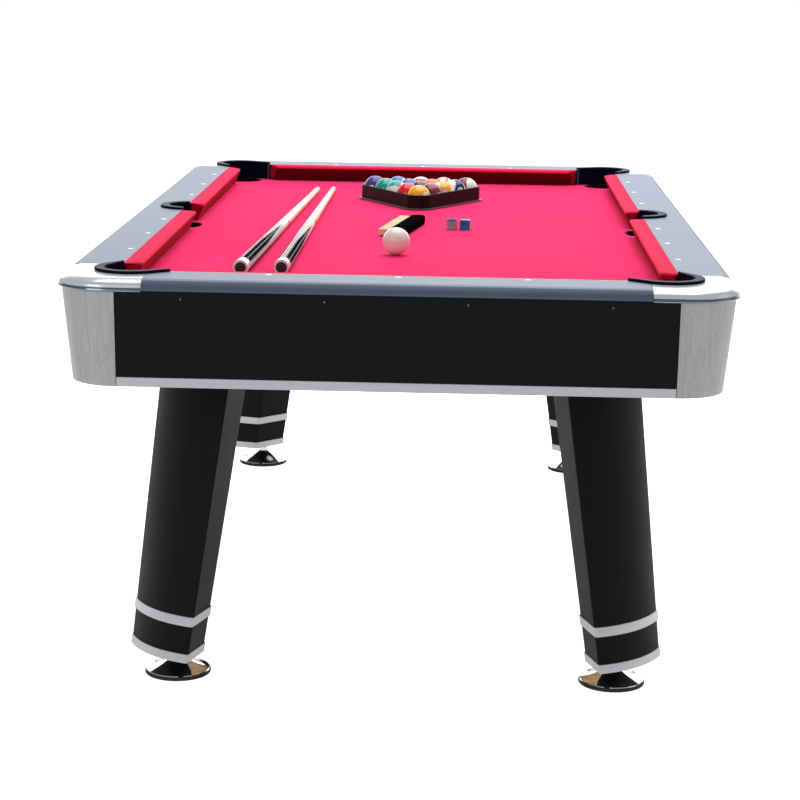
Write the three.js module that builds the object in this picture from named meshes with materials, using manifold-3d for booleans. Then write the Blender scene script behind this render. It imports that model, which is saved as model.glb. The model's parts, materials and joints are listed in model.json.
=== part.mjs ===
// Seven-foot six-pocket billiard table with its cues, balls, rack, brush and chalk.
// Millimetres, +Z up, origin on the floor under the centre of the table.
// X runs across the table, Y along it, and the ball return opens in the +Y end.

import * as THREE from 'three';
import { mergeVertices } from 'three/addons/utils/BufferGeometryUtils.js';
import Module from 'manifold-3d';

const wasm = await Module();
wasm.setup();

// ---------------------------------------------------------------- driving dimensions

const GAP = 0.3; // clearance between touching pieces
const RAIL_TOP = 803; // height of the rail tops above the floor
const CLOTH_TOP = 762; // height of the playing surface
const CLOTH_THICKNESS = 1;
const CABINET_BOTTOM = 604; // underside of the cabinet
const PLAY = { x: 483, y: 965 }; // half the playing area, cushion nose to cushion nose
const CUSHION_DEPTH = 32; // nose to the seam with the rail
const SEAM = { x: PLAY.x + CUSHION_DEPTH, y: PLAY.y + CUSHION_DEPTH };
const RAIL_OUT = 136.5; // nose to the outer edge of a rail
const OUTER = { x: PLAY.x + RAIL_OUT, y: PLAY.y + RAIL_OUT };
const CORNER_RADIUS = 97; // plan radius of the table's corners
const CORNER = { x: OUTER.x - CORNER_RADIUS, y: OUTER.y - CORNER_RADIUS };
const CAP_START = { x: 455, y: 915 }; // where the rails stop and the corner castings begin

const SLAB_THICKNESS = 19;
const SLAB_TOP = CLOTH_TOP - CLOTH_THICKNESS - GAP;
const SLAB_BOTTOM = SLAB_TOP - SLAB_THICKNESS;
const SLAB = { x: 582, y: 1064, radius: 60 };

const APRON_TOP = 781; // upper edge of the aprons, under the rails
const APRON_BOTTOM = 622.3; // lower edge, above the trim strip
const APRON_THICKNESS = 18;
const PANEL_SET_IN = 7; // rail edge to the corner panel, at the top
const APRON_SET_IN = 9; // rail edge to the apron face, at the top
const CABINET_LEAN = 15.5 / (APRON_TOP - CABINET_BOTTOM); // inward lean of the cabinet faces
const PANEL_START = 504; // half width of the end aprons
const PANEL_WALL = 14;

const BALL_RADIUS = 28.575;
const RETURN_MOUTH = { x: 190, low: 640, high: 722 }; // opening in the rear apron
const TUBE_BOTTOM = 715; // lower end of the pocket throats

const LEG = {
  bottom: 48,
  top: CABINET_BOTTOM - GAP,
  foot: { x: 421, y: 880 }, // plan centre at the bottom
  splay: 0.13, // sideways run per unit of height, in X and in Y
  growth: 0.2, // how much larger the section is at the top
};
const FOOT_STEM_RADIUS = 8;

const COLOURS = {
  cloth: 0xe62a5c,
  rail: 0x8d99ab,
  apron: 0x17181b,
  silver: 0xa9aaa8,
  chrome: 0xdfe3e6,
  rim: 0x14161f,
  board: 0xb08d62,
  plastic: 0x1a1a1c,
  rack: 0x1d1214,
  ivory: 0xece6d6,
  maple: 0xe6d3ac,
  yellow: 0xe3a72f,
  chalk: 0x2b6fb5,
};

// ---------------------------------------------------------------- shape helpers

const table = new THREE.Group();

// Adds one named mesh with its own finish to a parent group.
function place(name, geometry, colour, roughness, metalness, parent = table) {
  const material = new THREE.MeshStandardMaterial({ color: colour, roughness, metalness });
  const mesh = new THREE.Mesh(geometry, material);
  mesh.name = name;
  parent.add(mesh);
  return mesh;
}

// Signed volume of an indexed closed surface.
function signedVolume(positions, index) {
  const a = new THREE.Vector3();
  const b = new THREE.Vector3();
  const c = new THREE.Vector3();
  let sum = 0;
  for (let i = 0; i < index.length; i += 3) {
    a.fromArray(positions, 3 * index[i]);
    b.fromArray(positions, 3 * index[i + 1]);
    c.fromArray(positions, 3 * index[i + 2]);
    sum += a.dot(b.cross(c)) / 6;
  }
  return sum;
}

// Builds a geometry from points and triangles, turned so that its faces point out.
function surface(positions, index) {
  const facing = signedVolume(positions, index) < 0 ? flipped(index) : index;
  const geometry = new THREE.BufferGeometry();
  geometry.setAttribute('position', new THREE.Float32BufferAttribute(positions, 3));
  geometry.setIndex(facing);
  return geometry;
}

// The same triangles with their winding reversed.
function flipped(index) {
  const result = [];
  for (let i = 0; i < index.length; i += 3) {
    result.push(index[i], index[i + 2], index[i + 1]);
  }
  return result;
}

// Skins a stack of closed loops with equal counts, and caps both ends.
// The two axes named in plane are those that the end caps are triangulated in.
function loft(loops, plane = ['x', 'y']) {
  const count = loops[0].length;
  const positions = loops.flat().flatMap((p) => [p.x, p.y, p.z]);
  const index = [];
  for (let k = 0; k + 1 < loops.length; k += 1) {
    for (let i = 0; i < count; i += 1) {
      const a = k * count + i;
      const b = k * count + ((i + 1) % count);
      index.push(a, b, b + count, a, b + count, a + count);
    }
  }
  const last = (loops.length - 1) * count;
  index.push(...flipped(capTriangles(loops[0], plane)));
  index.push(...capTriangles(loops.at(-1), plane).map((i) => i + last));
  return surface(positions, index);
}

// Triangles that fill a loop, wound the way the loop runs.
function capTriangles(loop, plane) {
  const points = loop.map((p) => new THREE.Vector2(p[plane[0]], p[plane[1]]));
  const runs = Math.sign(THREE.ShapeUtils.area(points));
  const faces = THREE.ShapeUtils.triangulateShape(points, []);
  return faces.flatMap(([a, b, c]) => {
    const turn = Math.sign(THREE.ShapeUtils.area([points[a], points[b], points[c]]));
    return turn === runs ? [a, b, c] : [a, c, b];
  });
}

// An upright prism over a plan outline; each end is a height or a function of the plan point.
function prism(outline, low, high) {
  const lift = (level) => outline.map((p) => {
    const z = typeof level === 'function' ? level(p) : level;
    return new THREE.Vector3(p.x, p.y, z);
  });
  return loft([lift(low), lift(high)]);
}

// Carries a closed profile of (outward, up) points round a closed plan path.
// Every path entry has a point and the outward direction there.
function sweptRing(path, profile) {
  const count = profile.length;
  const positions = path.flatMap(({ point, out }) => profile.flatMap(([d, z]) => {
    return [point.x + out.x * d, point.y + out.y * d, z];
  }));
  const index = [];
  for (let k = 0; k < path.length; k += 1) {
    const next = (k + 1) % path.length;
    for (let i = 0; i < count; i += 1) {
      const j = (i + 1) % count;
      const a = k * count;
      const b = next * count;
      index.push(a + i, a + j, b + j, a + i, b + j, b + i);
    }
  }
  return surface(positions, index);
}

// A solid of revolution about Z from (radius, height) points that start and end on the axis.
function turned(profile, segments) {
  const points = profile.map(([r, z]) => new THREE.Vector2(r, z));
  const geometry = new THREE.LatheGeometry(points, segments);
  geometry.rotateX(Math.PI / 2);
  return welded(geometry);
}

// Merges shared vertices, drops collapsed triangles and turns the faces outwards.
function welded(geometry) {
  const bare = geometry.clone();
  bare.deleteAttribute('normal');
  bare.deleteAttribute('uv');
  const merged = mergeVertices(bare, 1e-3);
  const index = [];
  for (let i = 0; i < merged.index.count; i += 3) {
    const [a, b, c] = [0, 1, 2].map((k) => merged.index.getX(i + k));
    if (a !== b && b !== c && a !== c) {
      index.push(a, b, c);
    }
  }
  return surface(Array.from(merged.attributes.position.array), index);
}

function asSolid(geometry) {
  const clean = welded(geometry);
  const mesh = new wasm.Mesh({
    numProp: 3,
    vertProperties: Float32Array.from(clean.attributes.position.array),
    triVerts: Uint32Array.from(clean.index.array),
  });
  return new wasm.Manifold(mesh);
}

function asGeometry(solid) {
  const mesh = solid.getMesh();
  return surface(Array.from(mesh.vertProperties), Array.from(mesh.triVerts));
}

function cut(geometry, ...tools) {
  return asGeometry(tools.reduce((left, tool) => left.subtract(asSolid(tool)), asSolid(geometry)));
}

function join(...geometries) {
  const [first, ...rest] = geometries.map(asSolid);
  return asGeometry(rest.reduce((sum, next) => sum.add(next), first));
}

// Copies a geometry into another quadrant of the table.
function mirrored(geometry, sx, sy) {
  const source = welded(geometry);
  const positions = Array.from(source.attributes.position.array);
  for (let i = 0; i < positions.length; i += 3) {
    positions[i] *= sx;
    positions[i + 1] *= sy;
  }
  return surface(positions, Array.from(source.index.array));
}

// Points of an arc, both ends included.
function arc(centre, radius, from, to, steps) {
  return Array.from({ length: steps + 1 }, (_, i) => {
    const angle = from + ((to - from) * i) / steps;
    return new THREE.Vector2(
      centre.x + radius * Math.cos(angle),
      centre.y + radius * Math.sin(angle),
    );
  });
}

function rectangle(x0, y0, x1, y1) {
  return [[x0, y0], [x1, y0], [x1, y1], [x0, y1]].map(([x, y]) => new THREE.Vector2(x, y));
}

const CORNERS = [
  { name: 'front_left', sx: -1, sy: -1 },
  { name: 'front_right', sx: 1, sy: -1 },
  { name: 'rear_left', sx: -1, sy: 1 },
  { name: 'rear_right', sx: 1, sy: 1 },
];

const SIDES = [
  { name: 'left', sx: -1 },
  { name: 'right', sx: 1 },
];

const ENDS = [
  { name: 'front', sy: -1 },
  { name: 'rear', sy: 1 },
];

// ---------------------------------------------------------------- pockets

// Each pocket is a round throat whose mouth widens to two tips on the cushion seams.
// Shapes are laid out in the +X +Y quadrant and mirrored.
const CORNER_POCKET = {
  centre: new THREE.Vector2(491, 973),
  bead: { outer: 67, inner: 48, outerTip: 99, innerTip: 88 },
  wall: { outer: 54, inner: 50, outerTip: 94, innerTip: 89.5 },
  notch: 55.1,
  tipA: (reach) => new THREE.Vector2(SEAM.x + 0.8, SEAM.y - reach),
  tipB: (reach) => new THREE.Vector2(SEAM.x - reach, SEAM.y + 0.8),
};

const SIDE_POCKET = {
  centre: new THREE.Vector2(506, 0),
  bead: { outer: 67, inner: 47, outerTip: 66.6, innerTip: 48 },
  wall: { outer: 54, inner: 50, outerTip: 55, innerTip: 51 },
  notch: 51.1,
  tipA: (reach) => new THREE.Vector2(SEAM.x + 0.8, -reach),
  tipB: (reach) => new THREE.Vector2(SEAM.x + 0.8, reach),
};

const THROAT_WALL = 4;
const BEAD_TOP = RAIL_TOP + 5.5;
const CLEAR_RUN = 212; // how far the space in front of a pocket is kept clear

// A U-shaped path: tip A, tangent to the circle, round the outside, tangent to tip B.
function mouthPath(pocket, radius, reach, steps = 16) {
  const tips = [pocket.tipA(reach), pocket.tipB(reach)];
  const [start, end] = tips.map((tip, i) => {
    const away = tip.clone().sub(pocket.centre);
    const spread = Math.acos(Math.min(1, radius / away.length()));
    return away.angle() + (i === 0 ? spread - 2 * Math.PI : -spread);
  });
  return [tips[0], ...arc(pocket.centre, radius, start, end, steps), tips[1]];
}

// A plan band between two U-shaped paths.
function mouthBand(pocket, sizes) {
  const outer = mouthPath(pocket, sizes.outer, sizes.outerTip);
  const inner = mouthPath(pocket, sizes.inner, sizes.innerTip);
  return [...outer, ...inner.reverse()];
}

// Plan outline of the drop hole through the slab; a side hole has a shallow curved front edge.
function throatOutline(pocket, inset) {
  const ring = arc(pocket.centre, pocket.notch - inset, 0, 2 * Math.PI, 32).slice(0, -1);
  if (pocket !== SIDE_POCKET) {
    return ring;
  }
  const edge = { x: 580, radius: 100 - inset };
  return ring.map((p) => {
    const front = edge.x - Math.sqrt(edge.radius ** 2 - p.y ** 2);
    return new THREE.Vector2(Math.max(p.x, front), p.y);
  });
}

function pocketLiner(pocket) {
  const bead = prism(mouthBand(pocket, pocket.bead), RAIL_TOP + GAP, BEAD_TOP);
  const wall = prism(mouthBand(pocket, pocket.wall), CLOTH_TOP + GAP, RAIL_TOP + 1);
  const outline = throatOutline(pocket, GAP);
  const throat = prism(outline, TUBE_BOTTOM, CLOTH_TOP - 0.5);
  const disc = arc(pocket.centre, pocket.wall.outer - GAP, 0, 2 * Math.PI, 32).slice(0, -1);
  const neck = join(
    prism(outline, CLOTH_TOP - 3, CLOTH_TOP + 3),
    prism(disc, CLOTH_TOP + GAP, CLOTH_TOP + 3));
  const collar = cut(neck, prism(playSide(pocket), CLOTH_TOP - 5, CLOTH_TOP + 5));
  const hole = prism(throatOutline(pocket, GAP + THROAT_WALL), TUBE_BOTTOM - 5, CLOTH_TOP + 5);
  return cut(join(bead, wall, throat, collar), hole);
}

// Plan area on the playing side of a pocket's mouth, where nothing rises above the cloth.
function playSide(pocket) {
  const [a, b] = [pocket.tipA(pocket.wall.outerTip), pocket.tipB(pocket.wall.outerTip)];
  const alongMouth = b.clone().sub(a);
  const inward = new THREE.Vector2(-alongMouth.y, alongMouth.x).setLength(CLEAR_RUN);
  return [a, b, b.clone().add(inward), a.clone().add(inward)];
}

// The space that a liner takes out of the rails and castings.
function mouthTool(pocket) {
  const path = mouthPath(pocket, pocket.wall.outer + GAP, pocket.wall.outerTip + 2 * GAP);
  const inward = playSide(pocket);
  return prism([...path, inward[2], inward[3]], CLOTH_TOP - 60, RAIL_TOP + 20);
}

// The hole that a throat takes out of the slab and the cloth.
function throatTool(pocket, sx, sy) {
  return mirrored(prism(throatOutline(pocket, 0), SLAB_BOTTOM - 5, CLOTH_TOP + 5), sx, sy);
}

const cornerLiner = pocketLiner(CORNER_POCKET);
const sideLiner = pocketLiner(SIDE_POCKET);
for (const { name, sx, sy } of CORNERS) {
  place(`pocket_liner_${name}`, mirrored(cornerLiner, sx, sy), COLOURS.rim, 0.25, 0);
}
for (const { name, sx } of SIDES) {
  place(`pocket_liner_side_${name}`, mirrored(sideLiner, sx, 1), COLOURS.rim, 0.25, 0);
}

// ---------------------------------------------------------------- bed

// A rectangle with round corners, centred on the table.
function roundedPlan(halfX, halfY, radius, steps = 5) {
  const quarter = (sx, sy, from) => arc(
    { x: sx * (halfX - radius), y: sy * (halfY - radius) }, radius, from, from + Math.PI / 2, steps);
  return [
    ...quarter(1, 1, 0),
    ...quarter(-1, 1, Math.PI / 2),
    ...quarter(-1, -1, Math.PI),
    ...quarter(1, -1, 1.5 * Math.PI),
  ];
}

const throatTools = [
  ...CORNERS.map(({ sx, sy }) => throatTool(CORNER_POCKET, sx, sy)),
  ...SIDES.map(({ sx }) => throatTool(SIDE_POCKET, sx, 1)),
];
const slabBlank = prism(roundedPlan(SLAB.x, SLAB.y, SLAB.radius), SLAB_BOTTOM, SLAB_TOP);
place('bed_slab', cut(slabBlank, ...throatTools), COLOURS.board, 0.8, 0);
const clothBlank = prism(roundedPlan(SLAB.x - 2, SLAB.y - 2, SLAB.radius - 2),
  CLOTH_TOP - CLOTH_THICKNESS, CLOTH_TOP);
place('playing_cloth', cut(clothBlank, ...throatTools), COLOURS.cloth, 0.95, 0);

// ---------------------------------------------------------------- rails and castings

// Outer edge of a rail or casting: set-in from the edge against height.
const EDGE_PROFILE = [
  [4.5, 779.3],
  [1.5, 780.5],
  [0, 785],
  [1.5, 791],
  [8, 797.5],
  [17, 801.3],
  [27, RAIL_TOP],
];
const RAIL_UNDERSIDE = APRON_TOP + GAP;
const RAIL_FOOT = 106; // nose to the outer side of the rail's lower body

// Section of a rail in (distance from the nose, height).
const railSection = [
  [CUSHION_DEPTH + 0.5, CLOTH_TOP + GAP],
  [RAIL_FOOT, CLOTH_TOP + GAP],
  [RAIL_FOOT, RAIL_UNDERSIDE],
  [RAIL_OUT - 8, RAIL_UNDERSIDE],
  [RAIL_OUT - 1.5, RAIL_UNDERSIDE + 1],
  ...EDGE_PROFILE.slice(2).map(([inset, z]) => [RAIL_OUT - inset, z]),
  [CUSHION_DEPTH + 0.5, RAIL_TOP],
];

// A straight bar with the given section, from start to end along the edge it serves.
// Each end is a number, or a function of the distance from the nose.
function edgeBar(section, edge, start, end) {
  const at = (limit, d) => (typeof limit === 'function' ? limit(d) : limit);
  const loops = [start, end].map((limit) => section.map(([d, z]) => {
    return edge === 'side'
      ? new THREE.Vector3(PLAY.x + d, at(limit, d), z)
      : new THREE.Vector3(at(limit, d), PLAY.y + d, z);
  }));
  return loft(loops, edge === 'side' ? ['x', 'z'] : ['y', 'z']);
}

const cornerMouth = mouthTool(CORNER_POCKET);
const sideMouth = mouthTool(SIDE_POCKET);
const sideRail = cut(
  edgeBar(railSection, 'side', -CAP_START.y + GAP, CAP_START.y - GAP),
  cornerMouth, mirrored(cornerMouth, 1, -1), sideMouth);
for (const { name, sx } of SIDES) {
  place(`rail_${name}`, mirrored(sideRail, sx, 1), COLOURS.rail, 0.4, 0);
}
const endRail = cut(
  edgeBar(railSection, 'end', -CAP_START.x + GAP, CAP_START.x - GAP),
  cornerMouth, mirrored(cornerMouth, -1, 1));
for (const { name, sy } of ENDS) {
  place(`rail_${name}`, mirrored(endRail, 1, sy), COLOURS.rail, 0.4, 0);
}

// Plan of a corner casting with its outer edge set in by inset.
function capOutline(inset) {
  return [
    new THREE.Vector2(SEAM.x + 0.5, CAP_START.y),
    new THREE.Vector2(OUTER.x - inset, CAP_START.y),
    ...arc(CORNER, CORNER_RADIUS - inset, 0, Math.PI / 2, 9),
    new THREE.Vector2(CAP_START.x, OUTER.y - inset),
    new THREE.Vector2(CAP_START.x, SEAM.y + 0.5),
    new THREE.Vector2(SEAM.x + 0.5, SEAM.y + 0.5),
  ];
}

const CAP_SKIRT = 6.6; // width of the lip that hangs over the cabinet
const capShell = loft(EDGE_PROFILE.map(([inset, z]) => {
  return capOutline(inset).map((p) => new THREE.Vector3(p.x, p.y, z));
}));
const capHollow = prism(capOutline(CAP_SKIRT), 770, APRON_TOP + GAP);
const cornerCap = cut(capShell, capHollow, cornerMouth);
for (const { name, sx, sy } of CORNERS) {
  place(`corner_cap_${name}`, mirrored(cornerCap, sx, sy), COLOURS.chrome, 0.08, 1);
}

// ---------------------------------------------------------------- cushions

const NOSE_HEIGHT = CLOTH_TOP + 36.5;
const cushionSection = [
  [0, NOSE_HEIGHT],
  [0.8, NOSE_HEIGHT + 2.4],
  [4, RAIL_TOP - 1.6],
  [CUSHION_DEPTH, RAIL_TOP - 0.1],
  [CUSHION_DEPTH, CLOTH_TOP + GAP],
  [15, CLOTH_TOP + GAP],
  [1, NOSE_HEIGHT - 2.6],
];
const CORNER_FACING = { nose: 92, seam: 98 }; // cushion ends, from the corners of those lines
const SIDE_FACING = { nose: 71, seam: 70 }; // cushion ends, from the middle of the table

// End of a cushion at distance d from its nose, for a line that runs to half in the corner.
function cornerEnd(half, d) {
  const atNose = half - CORNER_FACING.nose;
  const atSeam = half + CUSHION_DEPTH - CORNER_FACING.seam;
  return THREE.MathUtils.lerp(atNose, atSeam, d / CUSHION_DEPTH);
}

const sideCushion = edgeBar(cushionSection, 'side',
  (d) => THREE.MathUtils.lerp(SIDE_FACING.nose, SIDE_FACING.seam, d / CUSHION_DEPTH),
  (d) => cornerEnd(PLAY.y, d));
const endCushion = edgeBar(cushionSection, 'end',
  (d) => -cornerEnd(PLAY.x, d),
  (d) => cornerEnd(PLAY.x, d));
for (const { name, sx, sy } of CORNERS) {
  place(`cushion_${name}`, mirrored(sideCushion, sx, sy), COLOURS.cloth, 0.95, 0);
}
for (const { name, sy } of ENDS) {
  place(`cushion_${name}_end`, mirrored(endCushion, 1, sy), COLOURS.cloth, 0.95, 0);
}

// ---------------------------------------------------------------- cabinet

// How far the cabinet faces have leaned in at a height.
function lean(z) {
  return (APRON_TOP - z) * CABINET_LEAN;
}

// A leaning board, its outer face set in from the table's edge, between two heights.
function leaningBoard(outer, halfLength, low, high, thickness, edge) {
  const corners = [[0, low], [0, high], [thickness, high], [thickness, low]];
  const section = corners.map(([inward, z]) => [outer - lean(z) - inward, z]);
  const loops = [-halfLength, halfLength].map((along) => section.map(([out, z]) => {
    return edge === 'side'
      ? new THREE.Vector3(out, along, z)
      : new THREE.Vector3(along, out, z);
  }));
  return loft(loops, edge === 'side' ? ['x', 'z'] : ['y', 'z']);
}

const PANEL_START_Y = CORNER.y - (CORNER.x - PANEL_START); // half length of the side aprons
const TRIM_PROUD = 1.5;

const sideApron = leaningBoard(OUTER.x - APRON_SET_IN, PANEL_START_Y - GAP,
  APRON_BOTTOM, APRON_TOP, APRON_THICKNESS, 'side');
const sideTrim = leaningBoard(OUTER.x - APRON_SET_IN + TRIM_PROUD, PANEL_START_Y - GAP,
  CABINET_BOTTOM, APRON_BOTTOM - GAP, APRON_THICKNESS + TRIM_PROUD, 'side');
for (const { name, sx } of SIDES) {
  place(`apron_${name}`, mirrored(sideApron, sx, 1), COLOURS.apron, 0.6, 0);
  place(`trim_strip_${name}`, mirrored(sideTrim, sx, 1), COLOURS.silver, 0.35, 0.9);
}

const endApron = leaningBoard(OUTER.y - APRON_SET_IN, PANEL_START - GAP,
  APRON_BOTTOM, APRON_TOP, APRON_THICKNESS, 'end');
const endTrim = leaningBoard(OUTER.y - APRON_SET_IN + TRIM_PROUD, PANEL_START - GAP,
  CABINET_BOTTOM, APRON_BOTTOM - GAP, APRON_THICKNESS + TRIM_PROUD, 'end');
const mouth = prism(
  rectangle(-RETURN_MOUTH.x, OUTER.y - 60, RETURN_MOUTH.x, OUTER.y + 10),
  RETURN_MOUTH.low, RETURN_MOUTH.high);
place('apron_front', mirrored(endApron, 1, -1), COLOURS.apron, 0.6, 0);
place('apron_rear', cut(endApron, mouth), COLOURS.apron, 0.6, 0);
for (const { name, sy } of ENDS) {
  place(`trim_strip_${name}`, mirrored(endTrim, 1, sy), COLOURS.silver, 0.35, 0.9);
}

// Plan of a corner panel at a height: outer quarter round, then back along its inside.
function panelOutline(z) {
  const inward = PANEL_SET_IN + lean(z);
  const faceX = OUTER.x - inward;
  const faceY = OUTER.y - inward;
  const radius = CORNER_RADIUS - PANEL_SET_IN;
  const centre = { x: faceX - radius, y: faceY - radius };
  return [
    new THREE.Vector2(faceX, PANEL_START_Y),
    ...arc(centre, radius, 0, Math.PI / 2, 10),
    new THREE.Vector2(PANEL_START, faceY),
    new THREE.Vector2(PANEL_START, faceY - PANEL_WALL - 4),
    ...arc(centre, radius - PANEL_WALL, Math.PI / 2, 0, 6),
    new THREE.Vector2(faceX - PANEL_WALL - 4, PANEL_START_Y),
  ];
}

const cornerPanel = loft([CABINET_BOTTOM, APRON_TOP - 2].map((z) => {
  return panelOutline(z).map((p) => new THREE.Vector3(p.x, p.y, z));
}));
for (const { name, sx, sy } of CORNERS) {
  place(`corner_panel_${name}`, mirrored(cornerPanel, sx, sy), COLOURS.silver, 0.4, 0.85);
}

// ---------------------------------------------------------------- ball return

const GULLY = {
  inner: 441, // inner faces of the long trough
  outer: 553,
  end: 1045,
  wall: 3,
  height: 36,
  start: 676, // floor height at the front
  fallY: 0.018, // fall towards the rear
  fallX: 0.012, // fall towards the middle
  outlet: 225, // where the cross trough stops, over the tray
  crossWidth: 115,
};

// Height of the gully floor at a plan point of the +X side.
function gullyFloor(p) {
  return GULLY.start - GULLY.fallY * (p.y + GULLY.end) - GULLY.fallX * (GULLY.outer - p.x);
}

// L-shaped plan of the trough; grow is added to every side but the outlet.
function gullyPlan(grow, outlet) {
  const crossFront = GULLY.end - GULLY.crossWidth - grow;
  return [
    [GULLY.inner - grow, -GULLY.end - grow],
    [GULLY.outer + grow, -GULLY.end - grow],
    [GULLY.outer + grow, GULLY.end + grow],
    [outlet, GULLY.end + grow],
    [outlet, crossFront],
    [GULLY.inner - grow, crossFront],
  ].map(([x, y]) => new THREE.Vector2(x, y));
}

const gullyShell = prism(gullyPlan(GULLY.wall, GULLY.outlet),
  (p) => gullyFloor(p) - GULLY.wall, (p) => gullyFloor(p) + GULLY.height);
const gullyHollow = prism(gullyPlan(0, GULLY.outlet - 10),
  gullyFloor, (p) => gullyFloor(p) + GULLY.height + 5);
const gully = cut(gullyShell, gullyHollow);
for (const { name, sx } of SIDES) {
  place(`ball_gully_${name}`, mirrored(gully, sx, 1), COLOURS.plastic, 0.6, 0);
}

const TRAY = { x: 222, front: 905, rear: 1058, floor: 609, side: 630, back: 700, wall: 3 };
const trayBlock = prism(rectangle(-TRAY.x, TRAY.front, TRAY.x, TRAY.rear), TRAY.floor - TRAY.wall, TRAY.back);
const trayHollow = prism(
  rectangle(-TRAY.x + TRAY.wall, TRAY.front + TRAY.wall, TRAY.x - TRAY.wall, TRAY.rear - TRAY.wall),
  TRAY.floor, TRAY.back + 5);
const traySides = prism(
  rectangle(-TRAY.x - 5, TRAY.front + TRAY.wall, TRAY.x + 5, TRAY.rear + 5), TRAY.side, TRAY.back + 5);
place('ball_return_tray', cut(trayBlock, trayHollow, traySides), COLOURS.plastic, 0.6, 0);

// ---------------------------------------------------------------- bed beams

const BEAM = { y: 808, halfWidth: 60, shoulder: 432, halfLength: 570 };

// A beam across the cabinet, notched at both ends where the gullies lie on it.
function bedBeam(y) {
  const ledge = gullyFloor({ x: BEAM.shoulder, y: y + BEAM.halfWidth }) - GULLY.wall - 1;
  const half = [
    [BEAM.halfLength, CABINET_BOTTOM],
    [BEAM.halfLength, ledge],
    [BEAM.shoulder, ledge],
    [BEAM.shoulder, SLAB_BOTTOM - GAP],
  ];
  const section = [...half, ...half.toReversed().map(([x, z]) => [-x, z])];
  const loops = [y - BEAM.halfWidth, y + BEAM.halfWidth].map((at) => {
    return section.map(([x, z]) => new THREE.Vector3(x, at, z));
  });
  return loft(loops, ['x', 'z']);
}

place('bed_beam_front', bedBeam(-BEAM.y), COLOURS.board, 0.8, 0);
place('bed_beam_rear', bedBeam(BEAM.y), COLOURS.board, 0.8, 0);

// ---------------------------------------------------------------- legs

// Leg section at the bottom, in (towards the corner, across) from its centre:
// a curved outer face, two converging sides and a flat inner face.
const LEG_SECTION = { outer: 46.7, outerHalf: 87.7, inner: -25.5, innerHalf: 48.1, bulge: 20 };
const LEG_BANDS = [
  { low: 48, high: 65, proud: 1.5 },
  { low: 118, high: 136.5, proud: 2 },
];

// Plan loop of a leg at a height, grown on all sides by proud.
function legLoop(z, proud) {
  const rise = (z - LEG.bottom) / (LEG.top - LEG.bottom);
  const size = 1 + LEG.growth * rise;
  const shift = LEG.splay * (z - LEG.bottom);
  const { outer, outerHalf, inner, innerHalf, bulge } = LEG_SECTION;
  const steps = 10;
  const face = Array.from({ length: steps + 1 }, (_, i) => {
    const t = (2 * i) / steps - 1;
    return [outer * size + proud + bulge * size * (1 - t * t), t * (outerHalf * size + proud)];
  });
  const back = [
    [inner * size - proud, innerHalf * size + proud],
    [inner * size - proud, -innerHalf * size - proud],
  ];
  return [...face, ...back].map(([u, w]) => new THREE.Vector3(
    LEG.foot.x - shift + (u - w) * Math.SQRT1_2,
    LEG.foot.y - shift + (u + w) * Math.SQRT1_2,
    z,
  ));
}

const legLevels = [];
for (const { low, high, proud } of LEG_BANDS) {
  if (low > LEG.bottom) {
    legLevels.push([low, 0]);
  }
  legLevels.push([low, proud], [high, proud], [high, 0]);
}
legLevels.push([LEG.top, 0]);
const stemBore = prism(
  arc(LEG.foot, FOOT_STEM_RADIUS + 0.7, 0, 2 * Math.PI, 16).slice(0, -1), LEG.bottom - 5, LEG.bottom + 62);
const leg = cut(loft(legLevels.map(([z, proud]) => legLoop(z, proud))), stemBore);
for (const { name, sx, sy } of CORNERS) {
  place(`leg_${name}`, mirrored(leg, sx, sy), COLOURS.apron, 0.6, 0);
}

// ---------------------------------------------------------------- levelling feet

// A bell-shaped foot with a rubber rim, open at the top for the stem's end.
const footPad = turned([
  [0, 0],
  [60, 0],
  [64, 2],
  [64, 8],
  [59, 9.5],
  [40, 15],
  [22, 24],
  [13, 31],
  [11.5, 33],
  [FOOT_STEM_RADIUS + 0.7, 33],
  [FOOT_STEM_RADIUS + 0.7, 20],
  [0, 20],
], 28);

// A threaded stem with its hexagonal nut under the leg.
const footStem = join(
  turned([[0, 20 + GAP], [FOOT_STEM_RADIUS, 20 + GAP], [FOOT_STEM_RADIUS, 100], [0, 100]], 16),
  turned([[0, 34], [13, 34], [13, 43], [0, 43]], 6));
for (const { name, sx, sy } of CORNERS) {
  const foot = new THREE.Group();
  foot.position.set(sx * LEG.foot.x, sy * LEG.foot.y, 0);
  table.add(foot);
  place(`foot_pad_${name}`, footPad, COLOURS.chrome, 0.15, 1, foot);
  place(`foot_stem_${name}`, footStem, COLOURS.chrome, 0.3, 1, foot);
}

// ---------------------------------------------------------------- accessories on the cloth

const REST = CLOTH_TOP + GAP; // underside of what lies on the cloth

const RACK = {
  x: 4,
  apexY: 382, // centre of the ball at the apex
  rows: 5,
  clearance: 0.7, // ball to wall
  wall: 5,
  height: 36,
  flange: 11,
  flangeHeight: 4,
};
const ROW_STEP = BALL_RADIUS * Math.sqrt(3);

// A ring round the triangle that the corner balls' centres make.
function rackPath() {
  const back = RACK.apexY + (RACK.rows - 1) * ROW_STEP;
  const half = (RACK.rows - 1) * BALL_RADIUS;
  const centres = [[RACK.x, RACK.apexY], [RACK.x + half, back], [RACK.x - half, back]];
  return centres.flatMap(([x, y], i) => {
    const first = ((4 * i - 5) * Math.PI) / 6;
    return arc({ x: 0, y: 0 }, 1, first, first + (2 * Math.PI) / 3, 7).map((out) => {
      return { point: { x, y }, out };
    });
  });
}

const rackInner = BALL_RADIUS + RACK.clearance;
place('ball_rack', sweptRing(rackPath(), [
  [rackInner, REST],
  [rackInner + RACK.flange, REST],
  [rackInner + RACK.flange, REST + RACK.flangeHeight],
  [rackInner + RACK.wall, REST + RACK.flangeHeight],
  [rackInner + RACK.wall, REST + RACK.height],
  [rackInner, REST + RACK.height],
]), COLOURS.rack, 0.35, 0);

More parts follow.
